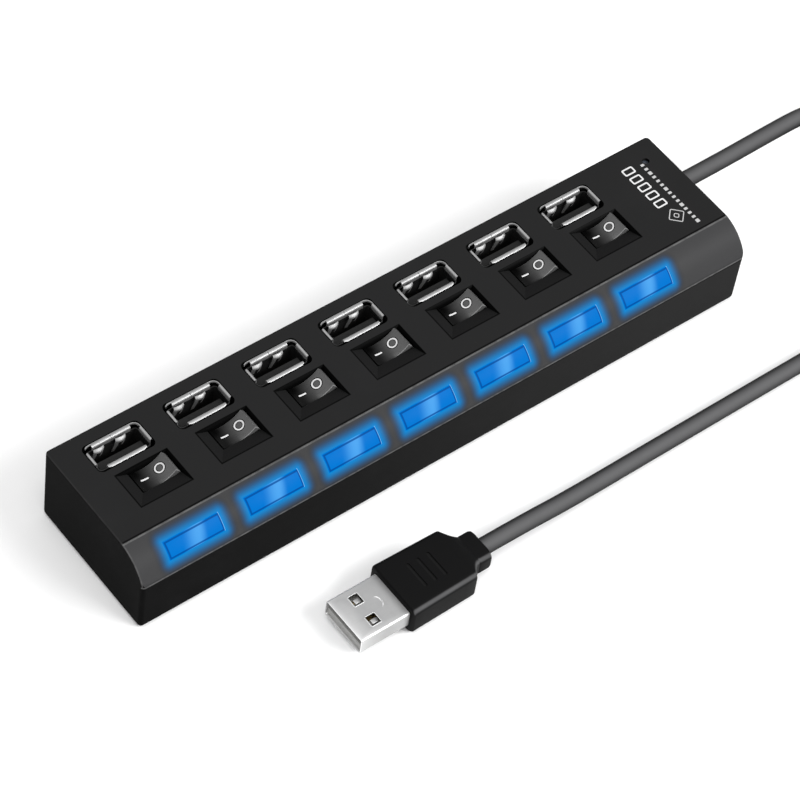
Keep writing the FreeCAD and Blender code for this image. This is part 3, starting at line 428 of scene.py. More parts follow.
@dataclass(frozen=True)
class HousingPlastic(Finish):
    """The housing's charcoal plastic, with painted light and shade: its own tone on each side, a
    paler satin slope, painted highlights broken by scuffs along the slope's edges, painted shade
    in the pockets and beside the slope, and a painted blue glow around its windows."""

    # Each side has its own tone as painted light and shade: the left end darkest, the back and
    # right end lighter, the front paling from its left end to its right.
    top_colour: Colour = (0.0155, 0.0155, 0.0157)
    shaded_side_colour: Colour = (0.0022, 0.0022, 0.0022)
    lit_back_colour: Colour = (0.011, 0.011, 0.0112)
    lit_front_colour: Colour = (0.015, 0.015, 0.015)
    pocket_shade_colour: Colour = (0.0105, 0.0105, 0.0106)
    painted_dark_colour: Colour = (0.001, 0.001, 0.001)
    lit_slope_colour: Colour = (0.04, 0.04, 0.041)
    edge_highlight_colour: Colour = (0.11, 0.11, 0.11)
    dust_colour: Colour = (0.028, 0.028, 0.029)
    glow_colour: Colour = (0.0, 0.26, 0.7)
    glow_reach: float = 3.5 * MM
    glow_fall: float = 2.1

    def _slope(self, y: Signal, z: Signal, side: Signal, up: Signal) -> Signal:
        """Finds the rounded slope.

        Args:
            y: The place across the hub.
            z: The height.
            side: The surface's direction along the hub.
            up: The surface's direction upwards.

        Returns:
            1 on the slope and 0 elsewhere.
        """
        s = SLOPE
        return (
            y.step(s.top + 0.1 * MM, s.top - 0.1 * MM)
            * z.step(s.foot - 0.1 * MM, s.foot + 0.15 * MM)
            * up.step(0.25, 0.4)
            * abs(side).step(0.75, 0.6)
        )

    def _edge_highlights(self, x: Signal, y: Signal, z: Signal, way: Sequence[Signal]) -> Signal:
        """Finds the lines that get a painted highlight: the slope's top and foot, and its ends.

        Args:
            x: The place along the hub.
            y: The place across the hub.
            z: The height.
            way: The surface's direction.

        Returns:
            1 on the lines and 0 elsewhere.
        """
        s = SLOPE
        side, front, up = way
        top = abs(y - s.top + 0.1 * MM).step(0.28 * MM, 0.1 * MM) * up.step(0.6, 0.7)
        foot = abs(z - s.foot - 0.05 * MM).step(0.28 * MM, 0.08 * MM) * front.step(-0.2, -0.4)
        end = abs(x).step(s.length / 2 - 0.42 * MM, s.length / 2 - 0.2 * MM)
        end = end * abs(side).step(0.97, 0.8) * z.step(s.foot - 0.2 * MM, s.foot + 0.2 * MM)
        end = end * (y.step(s.top + 0.6 * MM, s.top) * 0.5 + 0.12)
        return top.at_least(foot).at_least(end)

    def _crease_shade(self, y: Signal, z: Signal, way: Sequence[Signal]) -> Signal:
        """Finds the lines of painted shade just outside the slope's top and foot.

        Args:
            y: The place across the hub.
            z: The height.
            way: The surface's direction.

        Returns:
            1 on the lines and 0 elsewhere.
        """
        s = SLOPE
        _, front, up = way
        top = abs(y - s.top - 0.34 * MM).step(0.26 * MM, 0.1 * MM) * up.step(0.97, 0.995)
        foot = abs(z - s.foot + 0.36 * MM).step(0.26 * MM, 0.1 * MM) * front.step(-0.9, -0.98)
        return top.at_least(foot)

    @staticmethod
    def _beside(x: Signal, first: float) -> Signal:
        """The distance along the hub from the nearest of a row of seven.

        Args:
            x: The place along the hub.
            first: The row's first place.

        Returns:
            The distance, negative to the left.
        """
        index = ((x - first) / SLOPE.window_pitch).rounded()
        index = index.at_least(0.0).at_most(float(PORTS - 1))
        return x - first - index * SLOPE.window_pitch

    def _pocket(self, x: Signal, y: Signal) -> Signal:
        """Measures how far a place lies inside the nearest pocket's outline.

        Args:
            x: The place along the hub.
            y: The place across the hub.

        Returns:
            The distance to the outline in metres; negative outside it.
        """
        s = SLOPE
        across = self._beside(x, s.pivot_first)
        along = y - s.pivot_y
        left = (across + s.pocket_left).at_most(s.pocket_right - across)
        return left.at_most(along + s.pocket_front).at_most(s.pocket_back - along)

    def _glow(self, x: Signal, y: Signal, z: Signal) -> Signal:
        """Works out the light that bleeds into the plastic round each window.

        Args:
            x: The place along the hub.
            y: The place across the hub.
            z: The height.

        Returns:
            The light's share: 1 at a window's edge, 0 at the end of its reach.
        """
        s = SLOPE
        beside = abs(self._beside(x, s.window_first)) - s.window_half
        down = (s.top - y) * math.cos(s.angle) + (s.height - z) * math.sin(s.angle)
        above = abs(down - s.window_place) - s.window_up
        beside, above = beside.at_least(0.0), above.at_least(0.0)
        gap = (beside * beside + above * above).root()
        near = gap.step(self.glow_reach, -0.4 * MM)
        return near * y.step(s.top + 0.5 * MM, s.top - 0.4 * MM)

    def build(self) -> bpy.types.Material:
        """Makes the material.

        Returns:
            The finished material.
        """
        graph = Graph(self.name)
        vector, x, y, z = graph.place()
        side, front, up = graph.facing()
        grain = graph.noise(vector, 0.00045, 2.0)
        cloud = graph.noise(vector, 0.015, 3.0)
        s = SLOPE
        slope = self._slope(y, z, side, up)
        level = up.step(0.5, 0.7) * z.step(s.height - 2.6 * MM, s.height - 1.6 * MM)
        # Painted light and shade by side: the left end darkest, the front paling from left to
        # right, the back and right end lighter.
        lit_front_share = front.step(-0.6, -0.9) * x.step(-s.length / 2, s.length / 2)
        colour = graph.blend(lit_front_share, self.shaded_side_colour, self.lit_front_colour)
        colour = graph.blend(front.at_least(side).step(0.4, 0.9), colour, self.lit_back_colour)
        colour = graph.blend(level, colour, self.top_colour)
        # The slope is painted paler, as painted light.
        colour = graph.blend(slope, colour, self.lit_slope_colour)
        inside = self._pocket(x, y)
        # The sunk pockets get painted shade.
        sunk = z.step(s.height - 6 * MM, s.height - 4 * MM) * inside.step(0.0, 0.12 * MM)
        colour = graph.blend(sunk, colour, self.pocket_shade_colour)
        # A line of painted shade along each pocket's outline.
        edge_shade = abs(inside - 0.08 * MM).step(0.26 * MM, 0.12 * MM) * sunk.at_least(level)
        colour = graph.blend(edge_shade * 0.85, colour, self.painted_dark_colour)
        scuffs = graph.noise(vector, 0.0016, 4.0).step(0.3, 0.62)
        way = (side, front, up)
        # Painted shade lines just outside the slope's top and foot.
        colour = graph.blend(self._crease_shade(y, z, way) * 0.8, colour, self.painted_dark_colour)
        # Painted highlight lines along the slope's edges, broken up by scuffs.
        edges = self._edge_highlights(x, y, z, way) * (scuffs * 0.45 + 0.4)
        colour = graph.blend(edges, colour, self.edge_highlight_colour)
        dust = grain.step(0.64, 0.8) * 0.2 + cloud.step(0.5, 0.8) * 0.1
        colour = graph.blend(dust, colour, self.dust_colour)
        glow = self._glow(x, y, z)
        # The base goes dark under the painted glow round each window.
        colour = graph.blend(glow * 0.97, colour, self.painted_dark_colour)
        return graph.close(
            Base_Color=colour,
            Roughness=cloud * 0.1 + grain * 0.06 + 0.42,
            Specular_IOR_Level=0.012,
            Coat_Weight=slope * 0.05,
            Coat_Roughness=0.4,
            Emission_Color=graph.blend(glow**self.glow_fall, BLACK, self.glow_colour),
            Emission_Strength=1.0,
            Normal=graph.bump(grain, 0.00002, 0.45),
        )


@dataclass(frozen=True)
class BrushedNickel(Finish):
    """Nickel-plated sheet: fine brushing along one axis, dull finger marks and, where a fold
    colour is given, painted highlights on its rounded folds.
    """

    colour: Colour = (0.72, 0.72, 0.71)
    roughness: float = 0.3
    brushing: tuple[float, float, float] = (1.0, 18.0, 18.0)
    fold: Colour | None = None

    def build(self) -> bpy.types.Material:
        """Makes the material.

        Returns:
            The finished material.
        """
        graph = Graph(self.name)
        vector, _, _, _ = graph.place()
        lines = graph.noise(graph.stretched(vector, self.brushing), 0.002, 4.0, 0.7)
        cloud = graph.noise(vector, 0.004, 3.0)
        dull = tuple(c * 0.75 for c in self.colour)
        colour = graph.blend(cloud.step(0.45, 0.7) * 0.3 + lines * 0.3, self.colour, dull)
        # Painted highlights on the rounded folds, away from the flat faces.
        if self.fold:
            faces = [abs(way) for way in graph.facing()]
            most = faces[0].at_least(faces[1]).at_least(faces[2])
            colour = graph.blend(most.step(0.98, 0.9), colour, self.fold)
        return graph.close(
            Base_Color=colour,
            Metallic=1.0,
            Roughness=lines * 0.16 + cloud * 0.08 + (self.roughness - 0.1),
            Normal=graph.bump(lines, 0.000006, 0.5),
        )


@dataclass(frozen=True)
class GlossPlastic(Finish):
    """Polished black plastic with a painted reflection that pales towards its raised end and a
    painted highlight on the front edge there, with hairline scratches.
    """

    dark: Colour = (0.0015, 0.0015, 0.0015)
    reflection_colour: Colour = (0.1, 0.1, 0.1)
    # Painted highlight on the rounded front edge at the raised end.
    edge: Colour = (0.26, 0.26, 0.26)
    roughness: float = 0.26

    def build(self) -> bpy.types.Material:
        """Makes the material.

        Returns:
            The finished material.
        """
        graph = Graph(self.name)
        vector, x, _, z = graph.place()
        x, z = x * math.cos(TILT) - z * math.sin(TILT), z * math.cos(TILT) + x * math.sin(TILT)
        grease = graph.noise(vector, 0.0028, 3.0)
        hairs = graph.noise(graph.stretched(vector, (2.0, 26.0, 4.0)), 0.004, 3.0, 0.6)
        # A painted reflection, paler towards the raised end of the dish and streaked by the
        # hairline noise.
        reach = (x + (grease - 0.5) * 0.0012).step(-3.2 * MM, 4.4 * MM)
        painted_sheen = reach * z.step(1.2 * MM, 2.0 * MM) * (hairs * 0.5 + 0.75)
        side, front, up = graph.facing()
        # A painted highlight on the rounded front edge, towards the raised end.
        fold = abs(front).step(0.15, 0.4) * abs(front).step(0.97, 0.85) * up.step(0.1, 0.3)
        colour = graph.blend(painted_sheen, self.dark, self.reflection_colour)
        return graph.close(
            Base_Color=graph.blend(fold * reach * 0.8, colour, self.edge),
            Roughness=grease * 0.14 + hairs * 0.05 + (self.roughness - 0.06),
            Specular_IOR_Level=0.12,
            Coat_Weight=painted_sheen * 0.3,
            Coat_Roughness=0.15,
            Normal=graph.bump(hairs, 0.000004, 0.4),
        )


@dataclass(frozen=True)
class LitWindow(Finish):
    """A translucent blue pane lit from behind, brightest right of its middle, with a dark rim."""

    deep: Colour = (0.0, 0.19, 0.67)
    bright: Colour = (0.09, 0.42, 0.92)
    rim: Colour = (0.0, 0.07, 0.33)
    glint: Colour = (0.25, 0.58, 1.0)
    body: Colour = (0.0, 0.004, 0.012)
    half: tuple[float, float] = (SLOPE.window_half, SLOPE.window_up)

    def build(self) -> bpy.types.Material:
        """Makes the material.

        Returns:
            The finished material.
        """
        graph = Graph(self.name)
        vector, x, y, _ = graph.place()
        haze = graph.noise(graph.stretched(vector, (1.0, 0.35, 1.0)), 0.0035, 2.0)
        across = x - 0.9 * MM - y * 0.28 + (haze - 0.5) * 0.0012
        lit = across.step(-4.2 * MM, 0.0) * across.step(2.5 * MM, 0.1 * MM)
        colour = graph.blend(lit * 0.85, self.deep, self.bright)
        inset = (self.half[0] - abs(x)).at_most(self.half[1] - abs(y))
        line = abs(inset - 0.4 * MM).step(0.26 * MM, 0.12 * MM)
        colour = graph.blend(line * 0.85, colour, self.rim)
        end = x.step(self.half[0] - 0.34 * MM, self.half[0] - 0.2 * MM)
        colour = graph.blend(end * 0.9, colour, self.glint)
        return graph.close(
            Base_Color=self.body,
            Roughness=haze * 0.1 + 0.3,
            Specular_IOR_Level=0.02,
            Emission_Color=colour,
            Emission_Strength=1.0,
            Normal=graph.bump(haze, 0.00003, 0.2),
        )


@dataclass(frozen=True)
class LeadJacket(Finish):
    """Satin jacket with a painted sheen along the side that faces up and forwards, mottled by
    scuffs.
    """

    colour: Colour = (0.004, 0.004, 0.004)
    painted_sheen: Colour = (0.09, 0.09, 0.092)

    def build(self) -> bpy.types.Material:
        """Makes the material.

        Returns:
            The finished material.
        """
        graph = Graph(self.name)
        vector, _, _, _ = graph.place()
        _, front, up = graph.facing()
        pits = graph.noise(vector, 0.0006, 3.0)
        scuff = graph.noise(vector, 0.006, 4.0, 0.6)
        # Painted sheen where the surface faces up and forwards.
        sheen_share = (up * 0.88 - front * 0.47).at_least(0.0) ** 2.0 * (scuff * 0.2 + 0.9)
        return graph.close(
            Base_Color=graph.blend(sheen_share, self.colour, self.painted_sheen),
            Roughness=scuff * 0.16 + pits * 0.06 + 0.4,
            Specular_IOR_Level=0.03,
            Normal=graph.bump(pits, 0.00002, 0.35),
        )


@dataclass(frozen=True)
class GripPlastic(Finish):
    """Matt black moulded grip with a painted sheen along its long rounded edge."""

    colour: Colour = (0.0055, 0.0055, 0.0056)
    painted_sheen: Colour = (0.085, 0.085, 0.087)

    def build(self) -> bpy.types.Material:
        """Makes the material.

        Returns:
            The finished material.
        """
        graph = Graph(self.name)
        vector, _, _, _ = graph.place()
        _, front, up = graph.facing()
        grain = graph.noise(vector, 0.0005, 2.0)
        cloud = graph.noise(vector, 0.006, 3.0)
        # A painted sheen along the long rounded edge, mottled by the cloud noise.
        edge = front.step(-0.3, -0.62) * front.step(-0.98, -0.75) * up.step(0.1, 0.5)
        return graph.close(
            Base_Color=graph.blend(edge * (cloud * 0.4 + 0.6), self.colour, self.painted_sheen),
            Roughness=cloud * 0.12 + grain * 0.05 + 0.4,
            Specular_IOR_Level=0.035,
            Normal=graph.bump(grain, 0.000015, 0.5),
        )


@dataclass(frozen=True)
class Ink(Finish):
    """Printed ink with a slightly broken surface."""

    colour: Colour = (0.8, 0.8, 0.8)

    def build(self) -> bpy.types.Material:
        """Makes the material.

        Returns:
            The finished material.
        """
        graph = Graph(self.name)
        vector, _, _, _ = graph.place()
        broken = graph.noise(vector, 0.0003, 3.0).step(0.6, 0.8)
        dark = tuple(c * 0.6 for c in self.colour)
        return graph.close(
            Base_Color=graph.blend(broken * 0.5, self.colour, dark),
            Roughness=broken * 0.1 + 0.5,
            Specular_IOR_Level=0.3,
            Normal=graph.bump(broken, 0.000005, 0.4),
        )


@dataclass(frozen=True)
class BoardMask(Finish):
    """Green solder mask over copper tracks on a glass weave."""

    mask: Colour = (0.006, 0.07, 0.03)
    copper: Colour = (0.02, 0.16, 0.06)
    threads: float = 5200.0

    def build(self) -> bpy.types.Material:
        """Makes the material.

        Returns:
            The finished material.
        """
        graph = Graph(self.name)
        vector, x, y, _ = graph.place()
        tracks = graph.cells(graph.stretched(vector, (1.0, 1.0, 0.0)), 0.004, "DISTANCE_TO_EDGE")
        track = tracks.step(0.1, 0.07)
        weave = (x * self.threads).sine() * (y * self.threads).sine()
        return graph.close(
            Base_Color=graph.blend(track, self.mask, self.copper),
            Roughness=weave * 0.05 + 0.35,
            Normal=graph.bump(weave * 0.3 + track, 0.00003, 0.4),
        )


@dataclass(frozen=True)
class ClearLamp(Finish):
    """Tinted lamp epoxy with a paler core."""

    colour: Colour = (0.03, 0.035, 0.045)
    core: Colour = (0.06, 0.07, 0.09)

    def build(self) -> bpy.types.Material:
        """Makes the material.

        Returns:
            The finished material.
        """
        graph = Graph(self.name)
        vector, _, _, _ = graph.place()
        cloud = graph.noise(vector, 0.0009, 2.0)
        return graph.close(
            Base_Color=graph.blend(cloud.step(0.4, 0.7), self.colour, self.core),
            Roughness=cloud * 0.1 + 0.12,
            Specular_IOR_Level=0.6,
            Normal=graph.bump(cloud, 0.00001, 0.3),
        )


@dataclass(frozen=True)
class WovenStrap(Finish):
    """A black woven fastening strap."""

    thread: Colour = (0.012, 0.012, 0.012)
    lint: Colour = (0.045, 0.045, 0.045)

    def build(self) -> bpy.types.Material:
        """Makes the material.

        Returns:
            The finished material.
        """
        graph = Graph(self.name)
        vector, _, _, _ = graph.place()
        fluff = graph.noise(vector, 0.0005, 4.0, 0.7)
        loops = graph.cells(vector, 0.0005)
        return graph.close(
            Base_Color=graph.blend(fluff, self.thread, self.lint),
            Roughness=loops * 0.2 + 0.72,
            Specular_IOR_Level=0.2,
            Normal=graph.bump(loops + fluff * 0.5, 0.0001, 0.7),
        )


HOUSING = HousingPlastic("housing_plastic")
COVER = MouldedPlastic("cover_plastic", (0.016, 0.016, 0.016), 0.55, 0.3, 0.0007, 0.00004)
NICKEL = BrushedNickel("socket_nickel_sheet", (0.46, 0.46, 0.46), 0.56, (1.0, 14.0, 3.0))
# The socket tube's inside: a dark copy of the nickel as painted shade.
NICKEL_SHADE = BrushedNickel("socket_nickel_painted_shade", (0.05, 0.05, 0.05), 0.5, (14.0, 14.0, 1.0))
# The plug's sheet gets painted highlights on its rounded folds.
PLUG_NICKEL = BrushedNickel(
    "plug_nickel_sheet", (0.5, 0.5, 0.5), 0.55, (1.0, 20.0, 20.0), (0.95, 0.95, 0.95)
)
# The plug windows' cut faces: a darker copy of the nickel as painted shade.
PLUG_SHADE = BrushedNickel("plug_nickel_painted_shade", (0.3, 0.3, 0.3), 0.5, (1.0, 20.0, 20.0))
GLOSS = GlossPlastic("rocker_gloss_black")
WINDOW = LitWindow("window_pane_blue")
JACKET = LeadJacket("lead_jacket")
GRIP = GripPlastic("grip_plastic")
GRIP_MARK = MouldedPlastic("grip_mark_plastic", (0.003, 0.003, 0.003), 0.6, 0.15, 0.0005)
TONGUE = MouldedPlastic("tongue_plastic", (0.008, 0.008, 0.008), 0.5, 0.25)
SHADE = MouldedPlastic("mark_edge_black", (0.002, 0.002, 0.002), 0.5, 0.1, 0.0004)
WHITE_INK = Ink("mark_ink_white", (0.62, 0.62, 0.62))
GREY_INK = Ink("mark_ink_grey", (0.42, 0.42, 0.42))
INSULATOR = MouldedPlastic("insulator_plastic", (0.3, 0.3, 0.29), 0.45, 0.3)
STRAP = WovenStrap("coil_strap")

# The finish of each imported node, by the start of its name.
CAD_FINISHES: dict[str, Finish] = {
    "top_housing": HOUSING,
    "bottom_cover": COVER,
    "cover_screws": BrushedNickel("screw_zinc", (0.2, 0.2, 0.21), 0.35, (1.0, 1.0, 8.0)),
    "circuit_board": BoardMask("board_mask"),
    "port_tongue": TONGUE,
    "port_contacts": BrushedNickel("contact_gold_flash", (0.8, 0.6, 0.28), 0.3, (14.0, 1.0, 1.0)),
    "plug_contacts": BrushedNickel("plug_gold_flash", (0.8, 0.6, 0.28), 0.3, (1.0, 14.0, 1.0)),
    "controller_chips": MouldedPlastic("chip_epoxy", (0.012, 0.012, 0.013), 0.6, 0.3),
    "clock_crystal": BrushedNickel("crystal_can", (0.66, 0.66, 0.66), 0.3, (1.0, 10.0, 10.0)),
    "filter_capacitors": MouldedPlastic("capacitor_skin", (0.01, 0.015, 0.04), 0.3, 0.5),
    "indicator_lamps": ClearLamp("indicator_epoxy", (0.1, 0.2, 0.4)),
    "power_lamp": ClearLamp("power_lamp_epoxy"),
    "switch_frame": MouldedPlastic("switch_frame_plastic", (0.008, 0.008, 0.008), 0.5, 0.25),
    "switch_terminals": BrushedNickel("terminal_tin", (0.7, 0.7, 0.69), 0.35, (8.0, 1.0, 1.0)),
    "lead_wires": MouldedPlastic("wire_skin", (0.4, 0.03, 0.03), 0.4, 0.4),
    "plug_insulator": INSULATOR,
    "port_shell": NICKEL,
    "rocker_": GLOSS,
    "light_window": WINDOW,
    "cord_": JACKET,
    "cable_grommet": GRIP,
    "plug_grip": GRIP,
    "plug_shell": PLUG_NICKEL,
    "coil_tie": STRAP,
}


# --- mesh helpers -------------------------------------------------------------------


def finish_piece(
    name: str,
    mesh: bmesh.types.BMesh,
    finish: Finish,
    body: str = "hub",
    matrix: Matrix | None = None,
    sharp: float = SHARP,
    tilt: Matrix | None = None,
) -> bpy.types.Object:
    """Turns a mesh into a dressed piece that rides on a body.

    Args:
        name: The piece's name.
        mesh: The mesh, which is used up.
        finish: The surface finish.
        body: The body it rides on.
        matrix: Its place; the identity if left out.
        sharp: Edges sharper than this many degrees stay sharp.
        tilt: A turn of the mesh itself, about its own origin.

    Returns:
        The piece.
    """
    bmesh.ops.recalc_face_normals(mesh, faces=mesh.faces)
    if tilt is not None:
        mesh.transform(tilt)
    data = bpy.data.meshes.new(name)
    mesh.to_mesh(data)
    mesh.free()
    data.shade_smooth()
    data.set_sharp_from_angle(angle=math.radians(sharp))
    data.materials.append(finish.material())
    piece = bpy.data.objects.new(name, data)
    if matrix is not None:
        piece.matrix_world = matrix
    bpy.context.scene.collection.objects.link(piece)
    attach(piece, body)
    LOG.info("%s: %d faces", name, len(data.polygons))
    return piece


def polar(radius: float, angle: float) -> tuple[float, float]:
    """A place by its radius and its angle in radians."""
    return radius * math.cos(angle), radius * math.sin(angle)


def circle(radius: float, steps: int) -> list[tuple[float, float]]:
    """A circle round the origin, anticlockwise from its right end."""
    return [polar(radius, 2 * math.pi * k / steps) for k in range(steps)]


def shifted(
    points: Iterable[tuple[float, float]], by: tuple[float, float]
) -> list[tuple[float, float]]:
    """The points, moved."""
    return [(x + by[0], y + by[1]) for x, y in points]


def heading(line: Sequence[Sequence[float]], at: int, closed: bool = False) -> Vector:
    """The direction of a line of points at one of them.

    Args:
        line: The points.
        at: The point's place in the line.
        closed: Whether the last point joins the first.

    Returns:
        The direction, of length 1.
    """
    last = len(line) - 1
    before = line[at - 1] if closed else line[max(0, at - 1)]
    after = line[(at + 1) % len(line)] if closed else line[min(last, at + 1)]
    return Vector((after[0] - before[0], after[1] - before[1])).normalized()


def loft(
    mesh: bmesh.types.BMesh,
    rings: Sequence[Sequence[Vector]],
    caps: bool = True,
    closed: bool = False,
) -> list[list[bmesh.types.BMVert]]:
    """Joins rings of equal length into a skin.

    Args:
        mesh: The mesh that gets the skin.
        rings: The rings, each a loop of points.
        caps: Whether the first and last ring are filled.
        closed: Whether the last ring joins the first.

    Returns:
        The rings' vertices.
    """
    loops = [[mesh.verts.new(point) for point in ring] for ring in rings]
    count = len(loops[0])
    pairs = list(zip(loops, loops[1:]))
    if closed:
        pairs.append((loops[-1], loops[0]))
    for low, high in pairs:
        for k in range(count):
            after = (k + 1) % count
            mesh.faces.new((low[k], low[after], high[after], high[k]))
    if caps and not closed:
        mesh.faces.new(list(reversed(loops[0])))
        mesh.faces.new(loops[-1])
    return loops


def rounded_loop(
    half_x: float, half_y: float, radius: float, steps: int = 5
) -> list[tuple[float, float]]:
    """A rounded rectangle round the origin, anticlockwise.

    Args:
        half_x: Half of its size along the first axis.
        half_y: Half of its size along the second axis.
        radius: Its corners' radius.
        steps: Segments in each corner.

    Returns:
        Its points.
    """
    points = []
    corners = ((1, 1, 0.0), (-1, 1, 90.0), (-1, -1, 180.0), (1, -1, 270.0))
    for sx, sy, start in corners:
        quarter = [polar(radius, math.radians(start + 90.0 * k / steps)) for k in range(steps + 1)]
        points += shifted(quarter, (sx * (half_x - radius), sy * (half_y - radius)))
    return points


def slab(
    mesh: bmesh.types.BMesh,
    outline: Sequence[tuple[float, float]],
    low: float,
    high: float,
    soft: float = 0.0,
) -> None:
    """A flat plate with a softened top edge.

    Args:
        mesh: The mesh that gets it.
        outline: Its outline.
        low: Its underside.
        high: Its top.
        soft: The size of its edge's rounding.
    """
    centre = Vector((sum(p[0] for p in outline), sum(p[1] for p in outline))) / len(outline)
    size = max((Vector(p) - centre).length for p in outline)

    def ring(z: float, inset: float) -> list[Vector]:
        """The outline at a height, drawn in towards its middle."""
        drawn = [centre + (Vector(p) - centre) * (1.0 - inset / size) for p in outline]
        return [Vector((p.x, p.y, z)) for p in drawn]

    rings = [ring(low, 0.0), ring(high - soft, 0.0)]
    if soft:
        rings.append(ring(high - soft * 0.3, soft * 0.3))
        rings.append(ring(high, soft))
    loft(mesh, rings)


def strip(
    mesh: bmesh.types.BMesh,
    centre: tuple[float, float],
    half: tuple[float, float],
    span: tuple[float, float],
    surface: Callable[[float], float],
) -> None:
    """A flat bar with round ends that follows a surface along X.

    Args:
        mesh: The mesh that gets it.
        centre: Its middle.
        half: Half of its length and half of its width.
        span: Its underside and its top, over the surface.
        surface: The height that it lies on, by its place along X.
    """
    low, high = span
    long, wide = half
    ends = [wide * (1 - math.cos(math.radians(a))) for a in (12.0, 35.0, 60.0, 90.0)]
    middle = [wide + (long - wide) * 2 * k / 6 for k in range(1, 6)]
    places = [-long + e for e in ends] + [-long + m for m in middle]
    places += [long - e for e in reversed(ends)]
    rings = []
    for x in places:
        edge = min(wide, long - abs(x))
        y = math.sqrt(max(0.0, wide**2 - (wide - edge) ** 2))
        spot = centre[0] + x
        rings.append(
            [
                Vector((spot, centre[1] + side * y, surface(spot) + z))
                for side, z in ((-1, low), (-1, high), (1, high), (1, low))
            ]
        )
    loft(mesh, rings)


def ring_band(
    mesh: bmesh.types.BMesh,
    centre: tuple[float, float],
    radii: tuple[float, float],
    span: tuple[float, float],
    surface: Callable[[float], float],
    steps: int = 36,
) -> None:
    """A flat ring that follows a surface along X.

    Args:
        mesh: The mesh that gets it.
        centre: Its middle.
        radii: Its inner and its outer radius.
        span: Its underside and its top, over the surface.
        surface: The height that it lies on, by its place along X.
        steps: How many segments it has.
    """
    inner, outer = (shifted(circle(radius, steps), centre) for radius in radii)
    low, high = span
    sections = []
    for here, there in zip(inner, outer):
        section = ((here, low), (here, high), (there, high), (there, low))
        sections.append([Vector((x, y, surface(x) + z)) for (x, y), z in section])
    loft(mesh, sections, closed=True)


def spin(
    mesh: bmesh.types.BMesh, profile: Sequence[tuple[float, float]], steps: int = 40
) -> None:
    """Turns a profile of (place along X, radius) about the X axis.

    Args:
        mesh: The mesh that gets it.
        profile: The profile, from one end's middle to the other's.
        steps: How many segments it has.
    """
    loft(mesh, [[Vector((x, y, z)) for y, z in circle(r, steps)] for x, r in profile])


def carve(piece: bpy.types.Object, cutter: bmesh.types.BMesh, finish: Finish) -> None:
    """Cuts a mesh out of a piece and keeps the result.

    Args:
        piece: The piece.
        cutter: The mesh that is cut out, in the piece's own coordinates; it is used up.
        finish: The finish of the cut faces.
    """
    bmesh.ops.recalc_face_normals(cutter, faces=cutter.faces)
    data = bpy.data.meshes.new("cutter")
    cutter.to_mesh(data)
    cutter.free()
    data.materials.append(finish.material())
    tool = bpy.data.objects.new("cutter", data)
    tool.matrix_world = piece.matrix_world
    bpy.context.scene.collection.objects.link(tool)
    bpy.context.view_layer.update()
    change = piece.modifiers.new("cut", "BOOLEAN")
    change.operation = "DIFFERENCE"
    change.solver = "EXACT"
    change.material_mode = "TRANSFER"
    change.object = tool
    graph = bpy.context.evaluated_depsgraph_get()
    made = bpy.data.meshes.new_from_object(piece.evaluated_get(graph))
    piece.modifiers.clear()
    old = piece.data
    made.name = old.name
    piece.data = made
    bpy.data.meshes.remove(old)
    bpy.data.objects.remove(tool)
    made.shade_smooth()
    made.set_sharp_from_angle(angle=math.radians(SHARP))


# --- sub-assemblies -----------------------------------------------------------------


